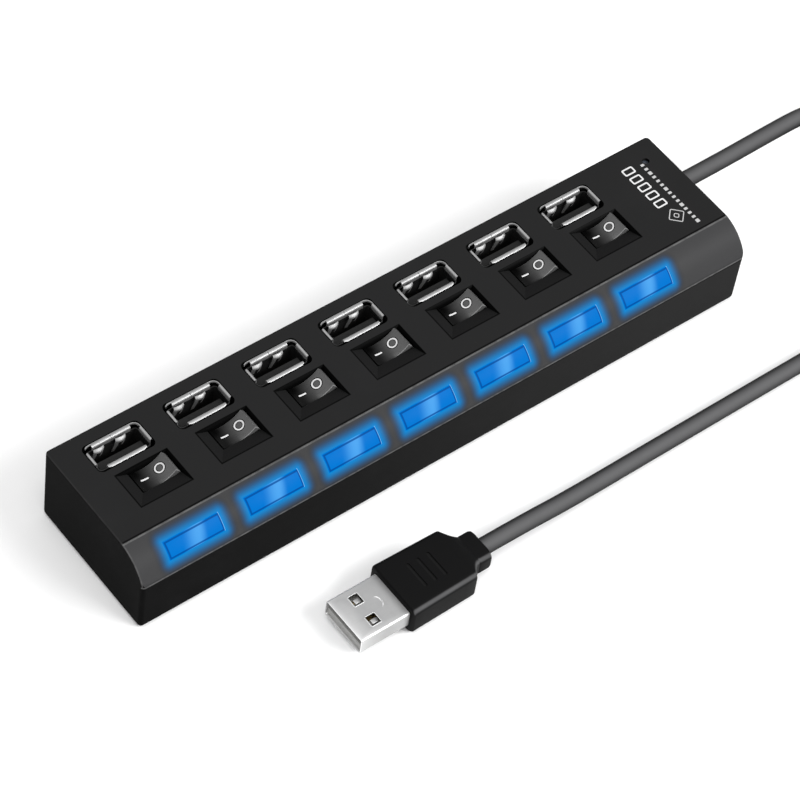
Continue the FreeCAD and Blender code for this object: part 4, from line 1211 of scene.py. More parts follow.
@dataclass
class Socket:
    """One socket's folded sheet: a tube, four turned-out lips and two spring fingers."""

    number: int
    half_x: float = 6.15 * MM
    half_y: float = 2.55 * MM
    sheet: float = 0.3 * MM
    lip_long: float = 0.7 * MM
    lip_short: float = 0.3 * MM
    lip_high: float = 0.2 * MM
    depth: float = 15.2 * MM
    finger_at: tuple[float, float] = (-3.5 * MM, 1.9 * MM)
    finger_half: float = 1.25
    lip_end: float = 0.5 * MM
    bend: float = 0.32 * MM
    corner: float = 1.55 * MM
    rim_fold: tuple[tuple[float, float], ...] = (
        (0.0, -0.3),
        (0.0, 0.1),
        (0.07, 0.17),
        (0.19, 0.17),
        (0.24, 0.1),
        (0.24, -0.3),
    )

    @property
    def place(self) -> Matrix:
        """Finds the socket's middle, level with the top face.

        Returns:
            Its place.
        """
        low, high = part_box(f"port_shell_{self.number}")
        middle = (low + high) / 2
        return Matrix.Translation((middle.x, middle.y, high.z - self.lip_high))

    def _tube(self, mesh: bmesh.types.BMesh) -> None:
        """The sheet's walls, open at the top and bottom.

        Args:
            mesh: The mesh that gets them.
        """
        inner = rounded_loop(self.half_x, self.half_y, 0.55 * MM)
        outer = rounded_loop(self.half_x + self.sheet, self.half_y + self.sheet, 0.85 * MM)
        top = -1.0 * MM
        rings = [
            [Vector((x, y, -self.depth)) for x, y in outer],
            [Vector((x, y, top - 0.06 * MM)) for x, y in outer],
            [Vector((x * 0.995, y * 0.99, top)) for x, y in outer],
            [Vector((x * 1.003, y * 1.01, top)) for x, y in inner],
            [Vector((x, y, top - 0.06 * MM)) for x, y in inner],
            [Vector((x, y, -self.depth)) for x, y in inner],
        ]
        loft(mesh, rings, closed=True)

    def _lip(
        self, mesh: bmesh.types.BMesh, along: tuple[float, float], turn: float, reach: float
    ) -> None:
        """One turned-out lip.

        Args:
            mesh: The mesh that gets it.
            along: Where it starts and ends beside its wall's middle.
            turn: Its wall's direction, in degrees from +X.
            reach: How far it turns out past the sheet.
        """
        swing = Matrix.Rotation(math.radians(turn), 4, "Z")
        wall = (self.half_x if turn in (0, 180) else self.half_y) + self.sheet / 2
        bend = self.bend
        half = self.sheet / 2
        crown = self.lip_high - half
        start, stop = along
        count = 12
        rings = []
        for k in range(count + 1):
            share = k / count
            across = start + (stop - start) * share
            edge = min(across - start, stop - across)
            full = math.sqrt(max(0.0, 1 - (1 - min(1.0, edge / self.lip_end)) ** 2))
            out = bend + (reach + half - bend) * (0.45 + 0.55 * full)
            line = [(0.0, -1.8 * MM), (0.0, crown - bend)]
            arc = [polar(bend, math.radians(180.0 - a)) for a in (22.5, 45.0, 67.5, 90.0)]
            line += shifted(arc, (bend, crown - bend))
            line += [(out - 0.12 * MM, crown - 0.015 * MM), (out, crown - 0.09 * MM)]
            left, right = [], []
            for a, point in enumerate(line):
                way = heading(line, a)
                thick = half * (0.7 if a == len(line) - 1 else 1.0)
                left.append((point[0] - way.y * thick, point[1] + way.x * thick))
                right.append((point[0] + way.y * thick, point[1] - way.x * thick))
            section = left + list(reversed(right))
            rings.append([swing @ Vector((wall + o, across, z)) for o, z in section])
        loft(mesh, rings)

    def _rim(self, mesh: bmesh.types.BMesh) -> None:
        """The thin outer fold that runs from the back left round to the right end.

        Args:
            mesh: The mesh that gets it.
        """
        half_x = self.half_x + self.sheet + self.lip_short
        half_y = self.half_y + self.sheet + self.lip_long
        loop = rounded_loop(half_x, half_y, self.corner, 8)
        # The loop starts at the right side's top and runs anticlockwise.
        path = [(half_x, -half_y + 1.5 * MM), (half_x, 0.0)] + loop[:9]
        path += [(0.0, half_y)] + loop[9:14]
        rings = []
        for k, point in enumerate(path):
            way = heading(path, k)
            inward = Vector((-way.y, way.x))
            spots = [(Vector(point) + inward * across * MM, z) for across, z in self.rim_fold]
            rings.append([Vector((spot.x, spot.y, z * MM)) for spot, z in spots])
        loft(mesh, rings)

    def _finger(self, mesh: bmesh.types.BMesh, middle: float) -> None:
        """One sprung finger on the back wall: a bowed head on a long and a short leg.

        Args:
            mesh: The mesh that gets it.
            middle: Its place along the socket.
        """
        columns = [-1.25, -0.95, -0.6, 0.0, 0.5, 0.85, 1.25]
        depths = [0.3, 0.45, 0.7, 0.95, 1.2, 1.45, 1.7, 2.1, 2.5, 2.9, 3.3, 3.8, 4.4]
        head, short = 4, 9

        def point(across: float, depth: float, skin: float) -> Vector:
            """A place on the finger.

            Args:
                across: Its place across the finger, in millimetres.
                depth: Its depth below the top face, in millimetres.
                skin: Its distance from the back skin, in millimetres.

            Returns:
                The place.
            """
            share = (across / self.finger_half) ** 2
            spread = 0.75 if depth < 1.0 else 2.6
            bow = 0.95 * math.exp(-(((depth - 1.0) / spread) ** 2)) + 0.12
            crown = 1.0 - 0.42 * share
            lean = 0.16 * (depth - 0.3)
            deep = depth + (0.12 * share if depth < 0.5 else 0.0)
            spot = self.half_y - (bow * crown + skin) * MM
            return Vector((middle + (across - lean) * MM, spot, -deep * MM))

        cells = {
            (r, c)
            for r in range(len(depths) - 1)
            for c in range(len(columns) - 1)
            if r < head or c < 2 or (c > 3 and r < short)
        }
        used = {(r + a, c + b) for r, c in cells for a in (0, 1) for b in (0, 1)}
        front = {k: mesh.verts.new(point(columns[k[1]], depths[k[0]], 0.14)) for k in used}
        back = {k: mesh.verts.new(point(columns[k[1]], depths[k[0]], 0.0)) for k in used}
        edges: dict[frozenset, tuple] = {}
        for r, c in cells:
            loop = [(r, c), (r, c + 1), (r + 1, c + 1), (r + 1, c)]
            mesh.faces.new([front[k] for k in loop])
            mesh.faces.new([back[k] for k in reversed(loop)])
            for one, two in zip(loop, loop[1:] + loop[:1]):
                key = frozenset((one, two))
                if edges.pop(key, None) is None:
                    edges[key] = (one, two)
        for one, two in edges.values():
            mesh.faces.new((front[two], front[one], back[one], back[two]))

    def build(self) -> bpy.types.Object:
        """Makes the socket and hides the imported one.

        Returns:
            The socket.
        """
        mesh = bmesh.new()
        self._tube(mesh)
        # The tube takes the dark copy of the nickel, as painted shade.
        for face in mesh.faces:
            face.material_index = 1
        long = 4.75 * MM
        self._lip(mesh, (-long, -0.02 * MM), 90.0, self.lip_long)
        self._lip(mesh, (0.09 * MM, long), 90.0, self.lip_long)
        self._lip(mesh, (-long, long), 270.0, self.lip_long)
        self._lip(mesh, (-2.2 * MM, 1.6 * MM), 0.0, self.lip_short)
        self._lip(mesh, (-1.9 * MM, 1.5 * MM), 180.0, self.lip_short)
        self._rim(mesh)
        for at in self.finger_at:
            self._finger(mesh, at)
        name = f"socket_sheet_{self.number}"
        piece = finish_piece(name, mesh, NICKEL, matrix=self.place, sharp=40)
        piece.data.materials.append(NICKEL_SHADE.material())
        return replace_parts(piece, f"port_shell_{self.number}")


@dataclass
class Rocker:
    """One dished rocker with its two printed marks."""

    number: int
    radius: float = 5.2 * MM
    half: float = 4.05 * MM
    dish: float = 1.4 * MM
    under: float = 1.78 * MM
    width: float = 5.4 * MM
    soft: float = 0.16 * MM
    tilt: float = TILT
    pin_radius: float = 0.7 * MM
    pin_reach: float = 0.65 * MM
    ring_at: tuple[float, float] = (1.9 * MM, 0.42 * MM)
    ring_ink: tuple[float, float] = (0.8 * MM, 1.13 * MM)
    ring_seat: tuple[float, ...] = (0.66 * MM, 0.98 * MM, 1.32 * MM)
    bar_at: tuple[float, float] = (-2.0 * MM, 0.05 * MM)
    bar_ink: tuple[float, float] = (0.94 * MM, 0.19 * MM)
    bar_seat: tuple[float, float] = (1.08 * MM, 0.36 * MM)
    ink_span: tuple[float, float] = (-0.05 * MM, 0.035 * MM)
    seat_span: tuple[float, float] = (-0.1 * MM, 0.008 * MM)

    @property
    def place(self) -> Matrix:
        """The rocker's pivot."""
        joint = next(j for j in frame["joints"] if j["child"] == f"rocker_{self.number}")
        return Matrix.Translation(joint["pos_m"])

    @property
    def _top(self) -> float:
        """Height of the dish's rims over the pivot."""
        return math.sqrt(self.radius**2 - self.half**2)

    def surface(self, x: float) -> float:
        """Height of the dish over the pivot."""
        bend = (self.half**2 + self.dish**2) / (2 * self.dish)
        return self._top - self.dish + bend - math.sqrt(bend**2 - x**2)

    def _profile(self) -> list[tuple[float, float]]:
        """Draws the rocker's side.

        Returns:
            Its points, anticlockwise from its lower left.
        """
        low = math.sqrt(self.radius**2 - self.under**2)
        start = math.atan2(-self.under, low)
        stop = math.atan2(self._top, self.half)
        end = [polar(self.radius, start + (stop - start) * k / 8) for k in range(1, 9)]
        dish = [self.half * (1 - 2 * k / 24) for k in range(1, 24)]
        return [
            (-low, -self.under),
            (low, -self.under),
            *end,
            *((x, self.surface(x)) for x in dish),
            *((-x, z) for x, z in reversed(end)),
        ]

    def _cap(self) -> bmesh.types.BMesh:
        """Makes the rocker itself, with rounded side edges.

        Returns:
            Its mesh.
        """
        profile = self._profile()
        ways = [heading(profile, k, closed=True) for k in range(len(profile))]

        def ring(y: float, inset: float) -> list[Vector]:
            """The side's outline at a place across the hub, drawn in."""
            return [
                Vector((x - way.y * inset, y, z + way.x * inset))
                for (x, z), way in zip(profile, ways)
            ]

        edge = self.width / 2
        steps = [(0.0, 1.0), (0.08, 0.6), (0.3, 0.29), (0.6, 0.08), (1.0, 0.0)]
        rings = [ring(-edge + a * self.soft, b * self.soft) for a, b in steps]
        rings += [ring(edge - a * self.soft, b * self.soft) for a, b in reversed(steps)]
        mesh = bmesh.new()
        loft(mesh, rings)
        pin = circle(self.pin_radius, 20)
        for side in (-1, 1):
            ends = (side * edge * 0.98, side * (edge + self.pin_reach))
            loft(mesh, [[Vector((x, y, z)) for x, z in pin] for y in ends])
        return mesh

    def build(self) -> None:
        """Makes the rocker and its marks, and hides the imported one."""
        body = f"rocker_{self.number}"
        matrix, tilt = self.place, Matrix.Rotation(self.tilt, 4, "Y")
        name = f"rocker_cap_{self.number}"
        cap = finish_piece(name, self._cap(), GLOSS, body, matrix, 50, tilt)
        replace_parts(cap, body)
        edge = bmesh.new()
        for radii in zip(self.ring_seat, self.ring_seat[1:]):
            ring_band(edge, self.ring_at, radii, self.seat_span, self.surface)
        strip(edge, self.bar_at, self.bar_seat, self.seat_span, self.surface)
        finish_piece(f"mark_edge_{self.number}", edge, SHADE, body, matrix, tilt=tilt)
        ink = bmesh.new()
        ring_band(ink, self.ring_at, self.ring_ink, self.ink_span, self.surface)
        strip(ink, self.bar_at, self.bar_ink, self.ink_span, self.surface)
        finish_piece(f"mark_ink_{self.number}", ink, WHITE_INK, body, matrix, tilt=tilt)


@dataclass
class Window:
    """One lit pane, let into the rounded slope, with a fine gap round it."""

    number: int
    gap: float = 0.07 * MM
    thick: float = 1.5 * MM
    soft: float = 0.22 * MM
    proud: float = 0.04 * MM

    @property
    def place(self) -> Matrix:
        """Finds the pane's middle on the slope's chord: X along the hub, Y up the slope.

        Returns:
            Its place.
        """
        low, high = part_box(f"light_window_{self.number}")
        s = SLOPE
        y = s.top - s.window_place * math.cos(s.angle)
        z = s.height - s.window_place * math.sin(s.angle)
        return Matrix.Translation(((low.x + high.x) / 2, y, z)) @ Matrix.Rotation(s.angle, 4, "X")

    def build(self) -> None:
        """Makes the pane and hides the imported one."""
        s = SLOPE
        half_x, half_y = s.window_half - self.gap, s.window_up - self.gap
        off = s.chord / 2 - s.window_place

        def skin(x: float, y: float, sink: float) -> Vector:
            """A place on the pane's face, or sunk below it."""
            return Vector((x, y, s.rise(y + off) + self.proud - sink))

        rows = [-1 + 2 * k / 12 for k in range(13)]
        mesh = bmesh.new()
        steps = [(0.0, self.soft), (0.3 * self.soft, 0.25 * self.soft), (self.soft, 0.0)]
        outer = [
            [skin(x * (half_x - inset), y * (half_y - inset), sink) for x, y in self._edge(rows)]
            for inset, sink in steps
        ]
        base = [Vector((p.x, p.y, p.z - self.thick)) for p in outer[0]]
        loops = loft(mesh, [base, *outer], caps=False)
        mesh.faces.new(list(reversed(loops[0])))
        # The top is rows of strips between the two long sides of the last loop.
        last = loops[-1]
        right = last[: len(rows)]
        left = list(reversed(last[len(rows) :]))
        for k in range(len(rows) - 1):
            mesh.faces.new((left[k], right[k], right[k + 1], left[k + 1]))
        name = f"window_pane_{self.number}"
        pane = finish_piece(name, mesh, WINDOW, matrix=self.place, sharp=50)
        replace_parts(pane, f"light_window_{self.number}")

    @staticmethod
    def _edge(rows: Sequence[float]) -> list[tuple[float, float]]:
        """The outline as unit places: up the right side, then down the left."""
        return [(1.0, y) for y in rows] + [(-1.0, y) for y in reversed(rows)]


@dataclass
class TopPrint:
    """Plain printed marks at the lead's end: a diamond, five outlined blocks and a dotted line."""

    top: float = SLOPE.height
    thick: float = 0.03 * MM
    blocks: int = 5
    block_at: tuple[float, float] = (70.35 * MM, 0.7 * MM)
    block_half: tuple[float, float] = (1.5 * MM, 0.98 * MM)
    block_pitch: float = 2.75 * MM
    diamond_at: tuple[float, float] = (71.1 * MM, -3.95 * MM)
    dots: int = 15
    dot_at: tuple[float, float] = (74.15 * MM, -7.6 * MM)
    dot_pitch: float = 1.36 * MM

    def _frame(
        self,
        mesh: bmesh.types.BMesh,
        centre: tuple[float, float],
        half: tuple[float, float],
        line: float,
        turn: float = 0.0,
    ) -> None:
        """An outlined rounded rectangle.

        Args:
            mesh: The mesh that gets it.
            centre: Its middle.
            half: Half of its outer sizes.
            line: The line's width.
            turn: Its turn, in degrees.
        """
        swing = Matrix.Rotation(math.radians(turn), 2)
        outer = rounded_loop(half[0], half[1], 0.4 * MM, 4)
        inner = rounded_loop(half[0] - line, half[1] - line, 0.2 * MM, 4)

        def lift(points: Iterable[tuple[float, float]], z: float) -> list[Vector]:
            """The points turned, moved and lifted over the top face."""
            turned = [swing @ Vector(p) for p in points]
            return [Vector((p.x + centre[0], p.y + centre[1], self.top + z)) for p in turned]

        rings = [
            lift(inner, -self.thick),
            lift(inner, self.thick),
            lift(outer, self.thick),
            lift(outer, -self.thick),
        ]
        loft(mesh, rings, closed=True)

    def build(self) -> None:
        """Makes the marks."""
        bold = bmesh.new()
        for k in range(self.blocks):
            spot = (self.block_at[0], self.block_at[1] + self.block_pitch * k)
            self._frame(bold, spot, self.block_half, 0.36 * MM)
        finish_piece("print_blocks", bold, WHITE_INK)
        fine = bmesh.new()
        for half, line in ((1.62 * MM, 0.22 * MM), (0.62 * MM, 0.2 * MM)):
            self._frame(fine, self.diamond_at, (half, half), line, 45.0)
        for k in range(self.dots):
            long = (0.42 if k % 4 else 0.62) * MM
            spot = (self.dot_at[0], self.dot_at[1] + self.dot_pitch * k)
            dash = shifted(rounded_loop(0.45 * MM, long * 0.75, 0.12 * MM, 2), spot)
            slab(fine, dash, self.top - self.thick, self.top + self.thick)
        finish_piece("print_fine", fine, GREY_INK)


@dataclass
class Plug:
    """The flat plug: a moulded grip with three grooves and a folded sheet shell."""

    front: float = -35.2 * MM
    axis: float = -42.1 * MM
    high: float = 8.0 * MM
    half: float = 7.4 * MM
    half_rear: float = 7.05 * MM
    wide: float = 16.8 * MM
    taper: float = 3.1 * MM
    neck: float = 3.5 * MM
    neck_share: float = 0.7
    neck_half: float = 4.1 * MM
    waist: float = 0.75 * MM
    round_long: float = 1.5 * MM
    shell_half: float = 6.0 * MM
    shell_high: float = 4.5 * MM
    shell_out: float = 12.4 * MM
    shell_in: float = 3.0 * MM
    sheet: float = 0.3 * MM
    window_back: float = 5.2 * MM
    window_side: float = 2.9 * MM
    window_half: tuple[float, float] = (1.15 * MM, 1.25 * MM)
    grooves: tuple[float, ...] = (6.1 * MM, 8.7 * MM, 11.3 * MM)
    groove_half: tuple[float, float] = (0.42 * MM, 3.4 * MM)
    groove_deep: float = 0.28 * MM
    cut: float = 0.78 * MM

    @property
    def place(self) -> Matrix:
        """The grip's front face, on the plug's axis and on the surface it lies on."""
        return Matrix.Translation((self.front, self.axis, 0.0))

    def _plan(self) -> list[tuple[float, float, float]]:
        """Draws the grip from above.

        Returns:
            Places along it, each with its half width and its height's share.
        """
        rows = [(0.0, self.half - 0.5 * MM, 0.9), (0.12 * MM, self.half - 0.22 * MM, 0.95)]
        rows += [(0.32 * MM, self.half - 0.06 * MM, 0.985), (0.6 * MM, self.half, 1.0)]
        narrow = self.half - self.half_rear
        rows += [(self.wide * k / 6, self.half - narrow * k / 6, 1.0) for k in range(1, 6)]
        rear = self.half_rear
        rows += [(self.wide - 0.3 * MM, rear, 1.0), (self.wide, rear - 0.12 * MM, 1.0)]
        chord = rear - self.neck_half
        drop = 1.0 - self.neck_share
        for k in range(1, 9):
            share = k / 9
            hollow = self.waist * math.sin(math.pi * share)
            half = rear - 0.2 * MM - (chord - 0.2 * MM) * share - hollow * 0.9
            rows.append((self.wide + self.taper * share, half, 1.0 - drop * share**2))
        end = self.wide + self.taper
        tall = self.neck_share
        rows.append((end + 0.05 * MM, self.neck_half - 0.12 * MM, tall))
        rows.append((end + 0.5 * MM, self.neck_half, tall - 0.02))
        rows.append((end + self.neck - 0.7 * MM, self.neck_half, tall - 0.03))
        rows.append((end + self.neck - 0.25 * MM, self.neck_half - 0.14 * MM, tall - 0.05))
        rows.append((end + self.neck, self.neck_half - 0.6 * MM, tall - 0.12))
        return rows

    def _grip(self) -> bpy.types.Object:
        """Makes the grip, with three shallow grooves across each of its two flat faces.

        Returns:
            The grip.
        """
        mesh = bmesh.new()
        rings = []
        middle = self.high / 2
        for x, half, share in self._plan():
            tall = middle * share
            loop = rounded_loop(half, tall, min(self.round_long, tall * 0.6), 8)
            rings.append([Vector((x, y, middle + z)) for y, z in loop])
        loft(mesh, rings)
        grip = finish_piece("grip_moulding", mesh, GRIP, matrix=self.place)
        cutter = bmesh.new()
        for at in self.grooves:
            groove = shifted(rounded_loop(*self.groove_half, 0.41 * MM, 6), (at, 0.0))
            for low in (self.high - self.groove_deep, self.groove_deep - self.cut):
                slab(cutter, groove, low, low + self.cut)
        carve(grip, cutter, GRIP_MARK)
        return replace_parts(grip, "plug_grip")

    def _shell(self) -> bpy.types.Object:
        """Makes the shell: a rounded tube with two windows on each flat face.

        Returns:
            The shell.
        """
        mesh = bmesh.new()
        middle = self.high / 2
        half_z = self.shell_high / 2
        outer = rounded_loop(self.shell_half, half_z, 0.5 * MM, 6)
        inner = rounded_loop(self.shell_half - self.sheet, half_z - self.sheet, 0.25 * MM, 6)
        mouth, back = -self.shell_out, self.shell_in - 0.1 * MM
        lip = 0.1 * MM

        def ring(loop: Sequence[tuple[float, float]], x: float, grow: float = 0.0) -> list[Vector]:
            """A loop at a place along the shell, grown a little."""
            share_y, share_z = 1 + grow / self.shell_half, 1 + grow / half_z
            return [Vector((x, y * share_y, middle + z * share_z)) for y, z in loop]

        rings = [
            ring(outer, back),
            ring(outer, mouth + lip),
            ring(outer, mouth, -lip * 0.7),
            ring(inner, mouth, lip * 0.7),
            ring(inner, mouth + lip * 2),
            ring(inner, back),
        ]
        loft(mesh, rings, closed=True)
        shell = finish_piece("shell_sheet", mesh, PLUG_NICKEL, matrix=self.place)
        cutter = bmesh.new()
        for side in (-1, 1):
            hole = rounded_loop(*self.window_half, 0.12 * MM, 3)
            hole = shifted(hole, (mouth + self.window_back, side * self.window_side))
            slab(cutter, hole, middle - half_z - MM, middle + half_z + MM)
        # The windows' cut faces take the darker copy of the nickel, as painted shade.
        carve(shell, cutter, PLUG_SHADE)
        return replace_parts(shell, "plug_shell")

    def _folds(self) -> bpy.types.Object:
        """Makes what shows in and on the shell: window edges, latch leaves and a stop mark.

        Returns:
            The folds, as one piece.
        """
        mesh = bmesh.new()
        middle = self.high / 2
        top = middle + self.shell_high / 2
        mouth = -self.shell_out
        for side in (-1, 1):
            cx, cy = mouth + self.window_back, side * self.window_side
            outer = rounded_loop(1.42 * MM, 1.52 * MM, 0.3 * MM, 4)
            inner = rounded_loop(*self.window_half, 0.12 * MM, 4)
            rings = []
            for loop, z, grow in (
                (outer, -0.04, 1.0),
                (outer, 0.0, 0.995),
                (inner, 0.045, 1.1),
                (inner, 0.0, 1.0),
                (inner, -0.3, 1.0),
            ):
                rings.append(
                    [Vector((x * grow + cx, y * grow + cy, top + z * MM)) for x, y in loop]
                )
            loft(mesh, rings, caps=False)
            leaf = rounded_loop(0.75 * MM, 0.55 * MM, 0.15 * MM, 3)
            leaf = shifted(leaf, (cx + 0.38 * MM, cy - 0.05 * MM))
            slab(mesh, leaf, top - 0.95 * MM, top - 0.62 * MM, 0.08 * MM)
        arc, count = [], 14
        for k in range(count + 1):
            angle = math.radians(-58 + 116 * k / count)
            width = 0.2 * MM * math.sin(math.pi * (k + 0.4) / (count + 0.8)) + 0.02 * MM
            spot = Vector((1.7 * MM * math.cos(angle), 1.75 * MM * math.sin(angle)))
            way = spot.normalized()
            ring = []
            for across, z in ((-1, -0.05), (-0.6, 0.06), (0, 0.1), (0.6, 0.06), (1, -0.05)):
                at = spot + way * across * width
                ring.append(Vector((at.x - 4.6 * MM, at.y, top + z * MM)))
            arc.append(ring)
        loft(mesh, arc)
        return finish_piece("shell_folds", mesh, PLUG_NICKEL, matrix=self.place)

    def build(self) -> list[bpy.types.Object]:
        """Makes the plug and returns the pieces that go with the lead."""
        return [self._grip(), self._shell(), self._folds()]


@dataclass
class Lead:
    """The lead: from its grommet to a tied coil, and from the coil to the plug."""

    thick: float = 4.0 * MM
    coil: tuple[float, float] = (146.0, -16.5)
    turns: float = 2.5
    points_in_turn: int = 16
    outer: float = 24.5
    inner: float = 20.4
    upper: float = 6.15
    lower: float = 2.0
    strap_lift: float = 0.42
    sleeve_at: float = 80.75 * MM
    to_coil: tuple[tuple[float, float, float], ...] = (
        (83.35, 8.15, 12.0),
        (95.0, 8.15, 12.0),
        (110.0, 8.5, 12.0),
        (123.0, 8.9, 11.6),
        (135.0, 8.6, 8.2),
        (146.0, 8.0, 6.1),
    )
    to_plug: tuple[tuple[float, float, float], ...] = (
        (146.0, -41.0, 2.0),
        (132.0, -41.1, 2.0),
        (108.0, -40.9, 2.0),
        (75.0, -41.1, 2.0),
        (38.0, -41.3, 2.0),
        (13.0, -41.8, 2.5),
        (-1.5, -42.1, 4.0),
        (-12.9, -42.1, 4.0),
    )

    def _winding(self) -> list[tuple[float, float, float]]:
        """Winds the coil: inwards on the upper layer, down, and outwards on the lower one.

        Returns:
            Its route points, in millimetres.
        """
        stations = [
            (0.0, self.outer, self.upper),
            (1.0, self.inner, self.upper),
            (1.3, self.inner, self.lower),
            (1.5, self.inner, self.lower),
            (2.0, self.outer, self.lower),
            (2.5, self.outer, self.lower),
        ]
        points = []
        swell = 1 / math.cos(math.pi / self.points_in_turn)
        count = int(self.turns * self.points_in_turn)
        for k in range(1, count):
            t = k / self.points_in_turn
            before = max(s for s in stations if s[0] <= t)
            after = min(s for s in stations if s[0] > t)
            share = (t - before[0]) / (after[0] - before[0])
            radius = before[1] + (after[1] - before[1]) * share
            height = before[2] + (after[2] - before[2]) * share
            angle = math.radians(90 - 360 * t)
            strap = max(0.0, math.cos(angle)) ** 24 * self.strap_lift
            x, y = polar(radius * swell, angle)
            points.append((self.coil[0] + x, self.coil[1] + y, height + strap))
        return points

    def _line(self) -> bpy.types.Object:
        """Makes the lead's own curve.

        Returns:
            The curve.
        """
        points = [*self.to_coil, *self._winding(), *self.to_plug]
        curve = bpy.data.curves.new("lead", "CURVE")
        curve.dimensions = "3D"
        curve.resolution_u = 10
        curve.bevel_depth = self.thick / 2
        curve.bevel_resolution = 6
        curve.use_fill_caps = True
        spline = curve.splines.new("NURBS")
        spline.points.add(len(points) - 1)
        for spot, point in zip(spline.points, points):
            spot.co = (*(v * MM for v in point), 1.0)
        spline.order_u = 3
        spline.use_endpoint_u = True
        curve.materials.append(JACKET.material())
        piece = bpy.data.objects.new("lead", curve)
        bpy.context.scene.collection.objects.link(piece)
        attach(piece, "hub")
        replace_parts(piece, "cord_hub_to_coil", "cord_coil", "cord_coil_to_plug")
        LOG.info("lead: %d route points", len(points))
        return piece

    def _grommet(self) -> bpy.types.Object:
        """Makes the ribbed sleeve that holds the lead in the end wall.

        Returns:
            The sleeve.
        """
        low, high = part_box("cable_grommet")
        middle = (low + high) / 2
        place = Matrix.Translation((self.sleeve_at, middle.y, middle.z))
        flange = [(-3.0, 0.4), (-3.0, 3.6), (-2.9, 3.7), (-1.9, 3.7), (-1.8, 3.6), (-1.8, 2.8)]
        collar = [(0.0, 2.8), (0.0, 3.0), (0.12, 3.2), (0.7, 3.2), (0.82, 3.1), (0.86, 2.85)]
        rib = [(1.08, 2.85), (1.12, 3.05), (1.6, 2.98), (1.7, 2.72), (1.92, 2.7), (1.97, 2.86)]
        end = [(2.3, 2.76), (2.5, 2.6), (2.58, 2.3), (2.58, 0.4)]
        mesh = bmesh.new()
        spin(mesh, [(x * MM, r * MM) for x, r in [*flange, *collar, *rib, *end]])
        piece = finish_piece("lead_sleeve", mesh, GRIP, matrix=place)
        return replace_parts(piece, "cable_grommet")

    def _strap(self) -> bpy.types.Object:
        """Makes the strap that ties the coil.

        Returns:
            The strap.
        """
        low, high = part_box("coil_tie")
        middle = (low + high) / 2
        half_x, half_z = (high.x - low.x) / 2, (high.z - low.z) / 2
        thick, half_y = 0.45 * MM, (high.y - low.y) / 2
        outer = rounded_loop(half_x, half_z, 2.6 * MM, 8)
        inner = rounded_loop(half_x - thick, half_z - thick, 2.2 * MM, 8)
        rings = []
        for loop, y in ((outer, -0.97), (outer, 0.97), (inner, 0.97), (inner, -0.97)):
            rings.append([Vector((x, y * half_y, z)) for x, z in loop])
        mesh = bmesh.new()
        loft(mesh, rings, closed=True)
        place = Matrix.Translation(middle)
        piece = finish_piece("coil_strap", mesh, STRAP, matrix=place)
        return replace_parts(piece, "coil_tie")

    def build(self, plug: Sequence[bpy.types.Object]) -> None:
        """Args:
            plug: The plug's new pieces.
        """
        line = self._line()
        pieces = [self._grommet(), self._strap(), *plug]


# --- the studio ---------------------------------------------------------------------


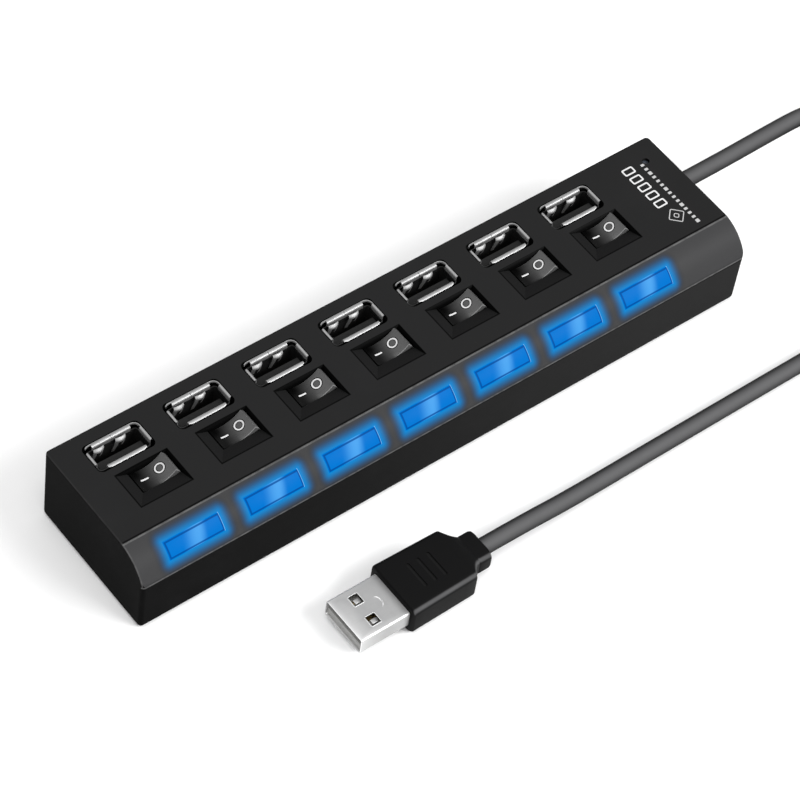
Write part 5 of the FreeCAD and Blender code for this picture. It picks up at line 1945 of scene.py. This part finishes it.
@dataclass
class Studio:
    """Pale floor, soft lights and the camera."""

    lens: float = 156.0
    azimuth: float = -0.7850115513
    elevation: float = 0.9019905752
    roll: float = 0.1651063383
    distance: float = 0.7474727
    shift: tuple[float, float] = (-0.0000592, 0.0002338)
    key_power: float = 16.0
    top_power: float = 14.0
    around: float = 0.55

    def camera(self) -> None:
        """Makes the camera."""
        a, e = self.azimuth, self.elevation
        back = Vector((math.sin(a) * math.cos(e), -math.cos(a) * math.cos(e), math.sin(e)))
        level = Vector((math.cos(a), math.sin(a), 0.0))
        over = back.cross(level)
        right = math.cos(self.roll) * level + math.sin(self.roll) * over
        up = -math.sin(self.roll) * level + math.cos(self.roll) * over
        data = bpy.data.cameras.new("camera")
        data.lens = self.lens
        data.sensor_width = 36.0
        data.clip_start = 0.01
        data.clip_end = 20.0
        camera = bpy.data.objects.new("camera", data)
        axes = Matrix((right, up, back)).transposed().to_4x4()
        spot = right * self.shift[0] + up * self.shift[1] + back * self.distance
        camera.matrix_world = Matrix.Translation(spot) @ axes
        bpy.context.scene.collection.objects.link(camera)
        bpy.context.scene.camera = camera

    def floor(self) -> None:
        """Makes the floor."""
        graph = Graph("floor_paper")
        vector, _, _, _ = graph.place()
        tooth = graph.noise(vector, 0.004, 3.0)
        material = graph.close(
            Base_Color=graph.blend(tooth * 0.3, (0.93, 0.93, 0.93), (0.88, 0.88, 0.88)),
            Roughness=tooth * 0.05 + 0.85,
            Specular_IOR_Level=0.1,
        )
        mesh = bmesh.new()
        bmesh.ops.create_grid(mesh, x_segments=8, y_segments=8, size=4.0)
        data = bpy.data.meshes.new("floor")
        mesh.to_mesh(data)
        mesh.free()
        data.materials.append(material)
        piece = bpy.data.objects.new("floor", data)
        piece.location.z = -0.00005
        bpy.context.scene.collection.objects.link(piece)

    @staticmethod
    def _lamp(
        name: str, way: Sequence[float], far: float, size: tuple[float, float], power: float
    ) -> None:
        """One soft rectangular light that looks at the hub.

        Args:
            name: Its name.
            way: The direction from the hub to it.
            far: Its distance.
            size: Its two sides.
            power: Its power in watts.
        """
        data = bpy.data.lights.new(name, "AREA")
        data.shape = "RECTANGLE"
        data.size, data.size_y = size
        data.energy = power
        lamp = bpy.data.objects.new(name, data)
        way = Vector(way).normalized()
        lamp.location = way * far
        lamp.rotation_mode = "QUATERNION"
        lamp.rotation_quaternion = way.to_track_quat("Z", "Y")
        bpy.context.scene.collection.objects.link(lamp)

    def lights(self) -> None:
        """Makes the lights and the surroundings."""
        self._lamp("key", (0.44, -0.62, 0.62), 1.3, (0.9, 0.45), self.key_power)
        self._lamp("top", (-0.3, -0.1, 1.0), 1.6, (1.2, 1.2), self.top_power)
        world = bpy.data.worlds.new("surroundings")
        world.use_nodes = True
        ground = world.node_tree.nodes["Background"]
        ground.inputs["Color"].default_value = (1.0, 1.0, 1.0, 1.0)
        ground.inputs["Strength"].default_value = self.around
        bpy.context.scene.world = world
        bpy.context.scene.view_settings.view_transform = "Standard"

    def build(self) -> None:
        """Makes the whole studio."""
        self.camera()
        self.floor()
        self.lights()


def dress_packed_nodes() -> None:
    """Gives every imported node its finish."""
    for name, node in frame["nodes"].items():
        for start, finish in CAD_FINISHES.items():
            if name.startswith(start):
                node.data.materials.clear()
                node.data.materials.append(finish.material())
                LOG.info("%s: %s", name, finish.name)


def corners(box: tuple[Vector, Vector]) -> list[list[float]]:
    """A box as plain lists of numbers."""
    return [list(box[0]), list(box[1])]


def main() -> None:
    """Builds the studio and every piece."""
    logging.basicConfig(level=logging.INFO, format="%(name)s: %(message)s")
    Studio().build()
    dress_packed_nodes()
    for number in range(1, PORTS + 1):
        Socket(number).build()
        Rocker(number).build()
        Window(number).build()
    TopPrint().build()
    Lead().build(Plug().build())


if __name__ == "__main__":
    main()
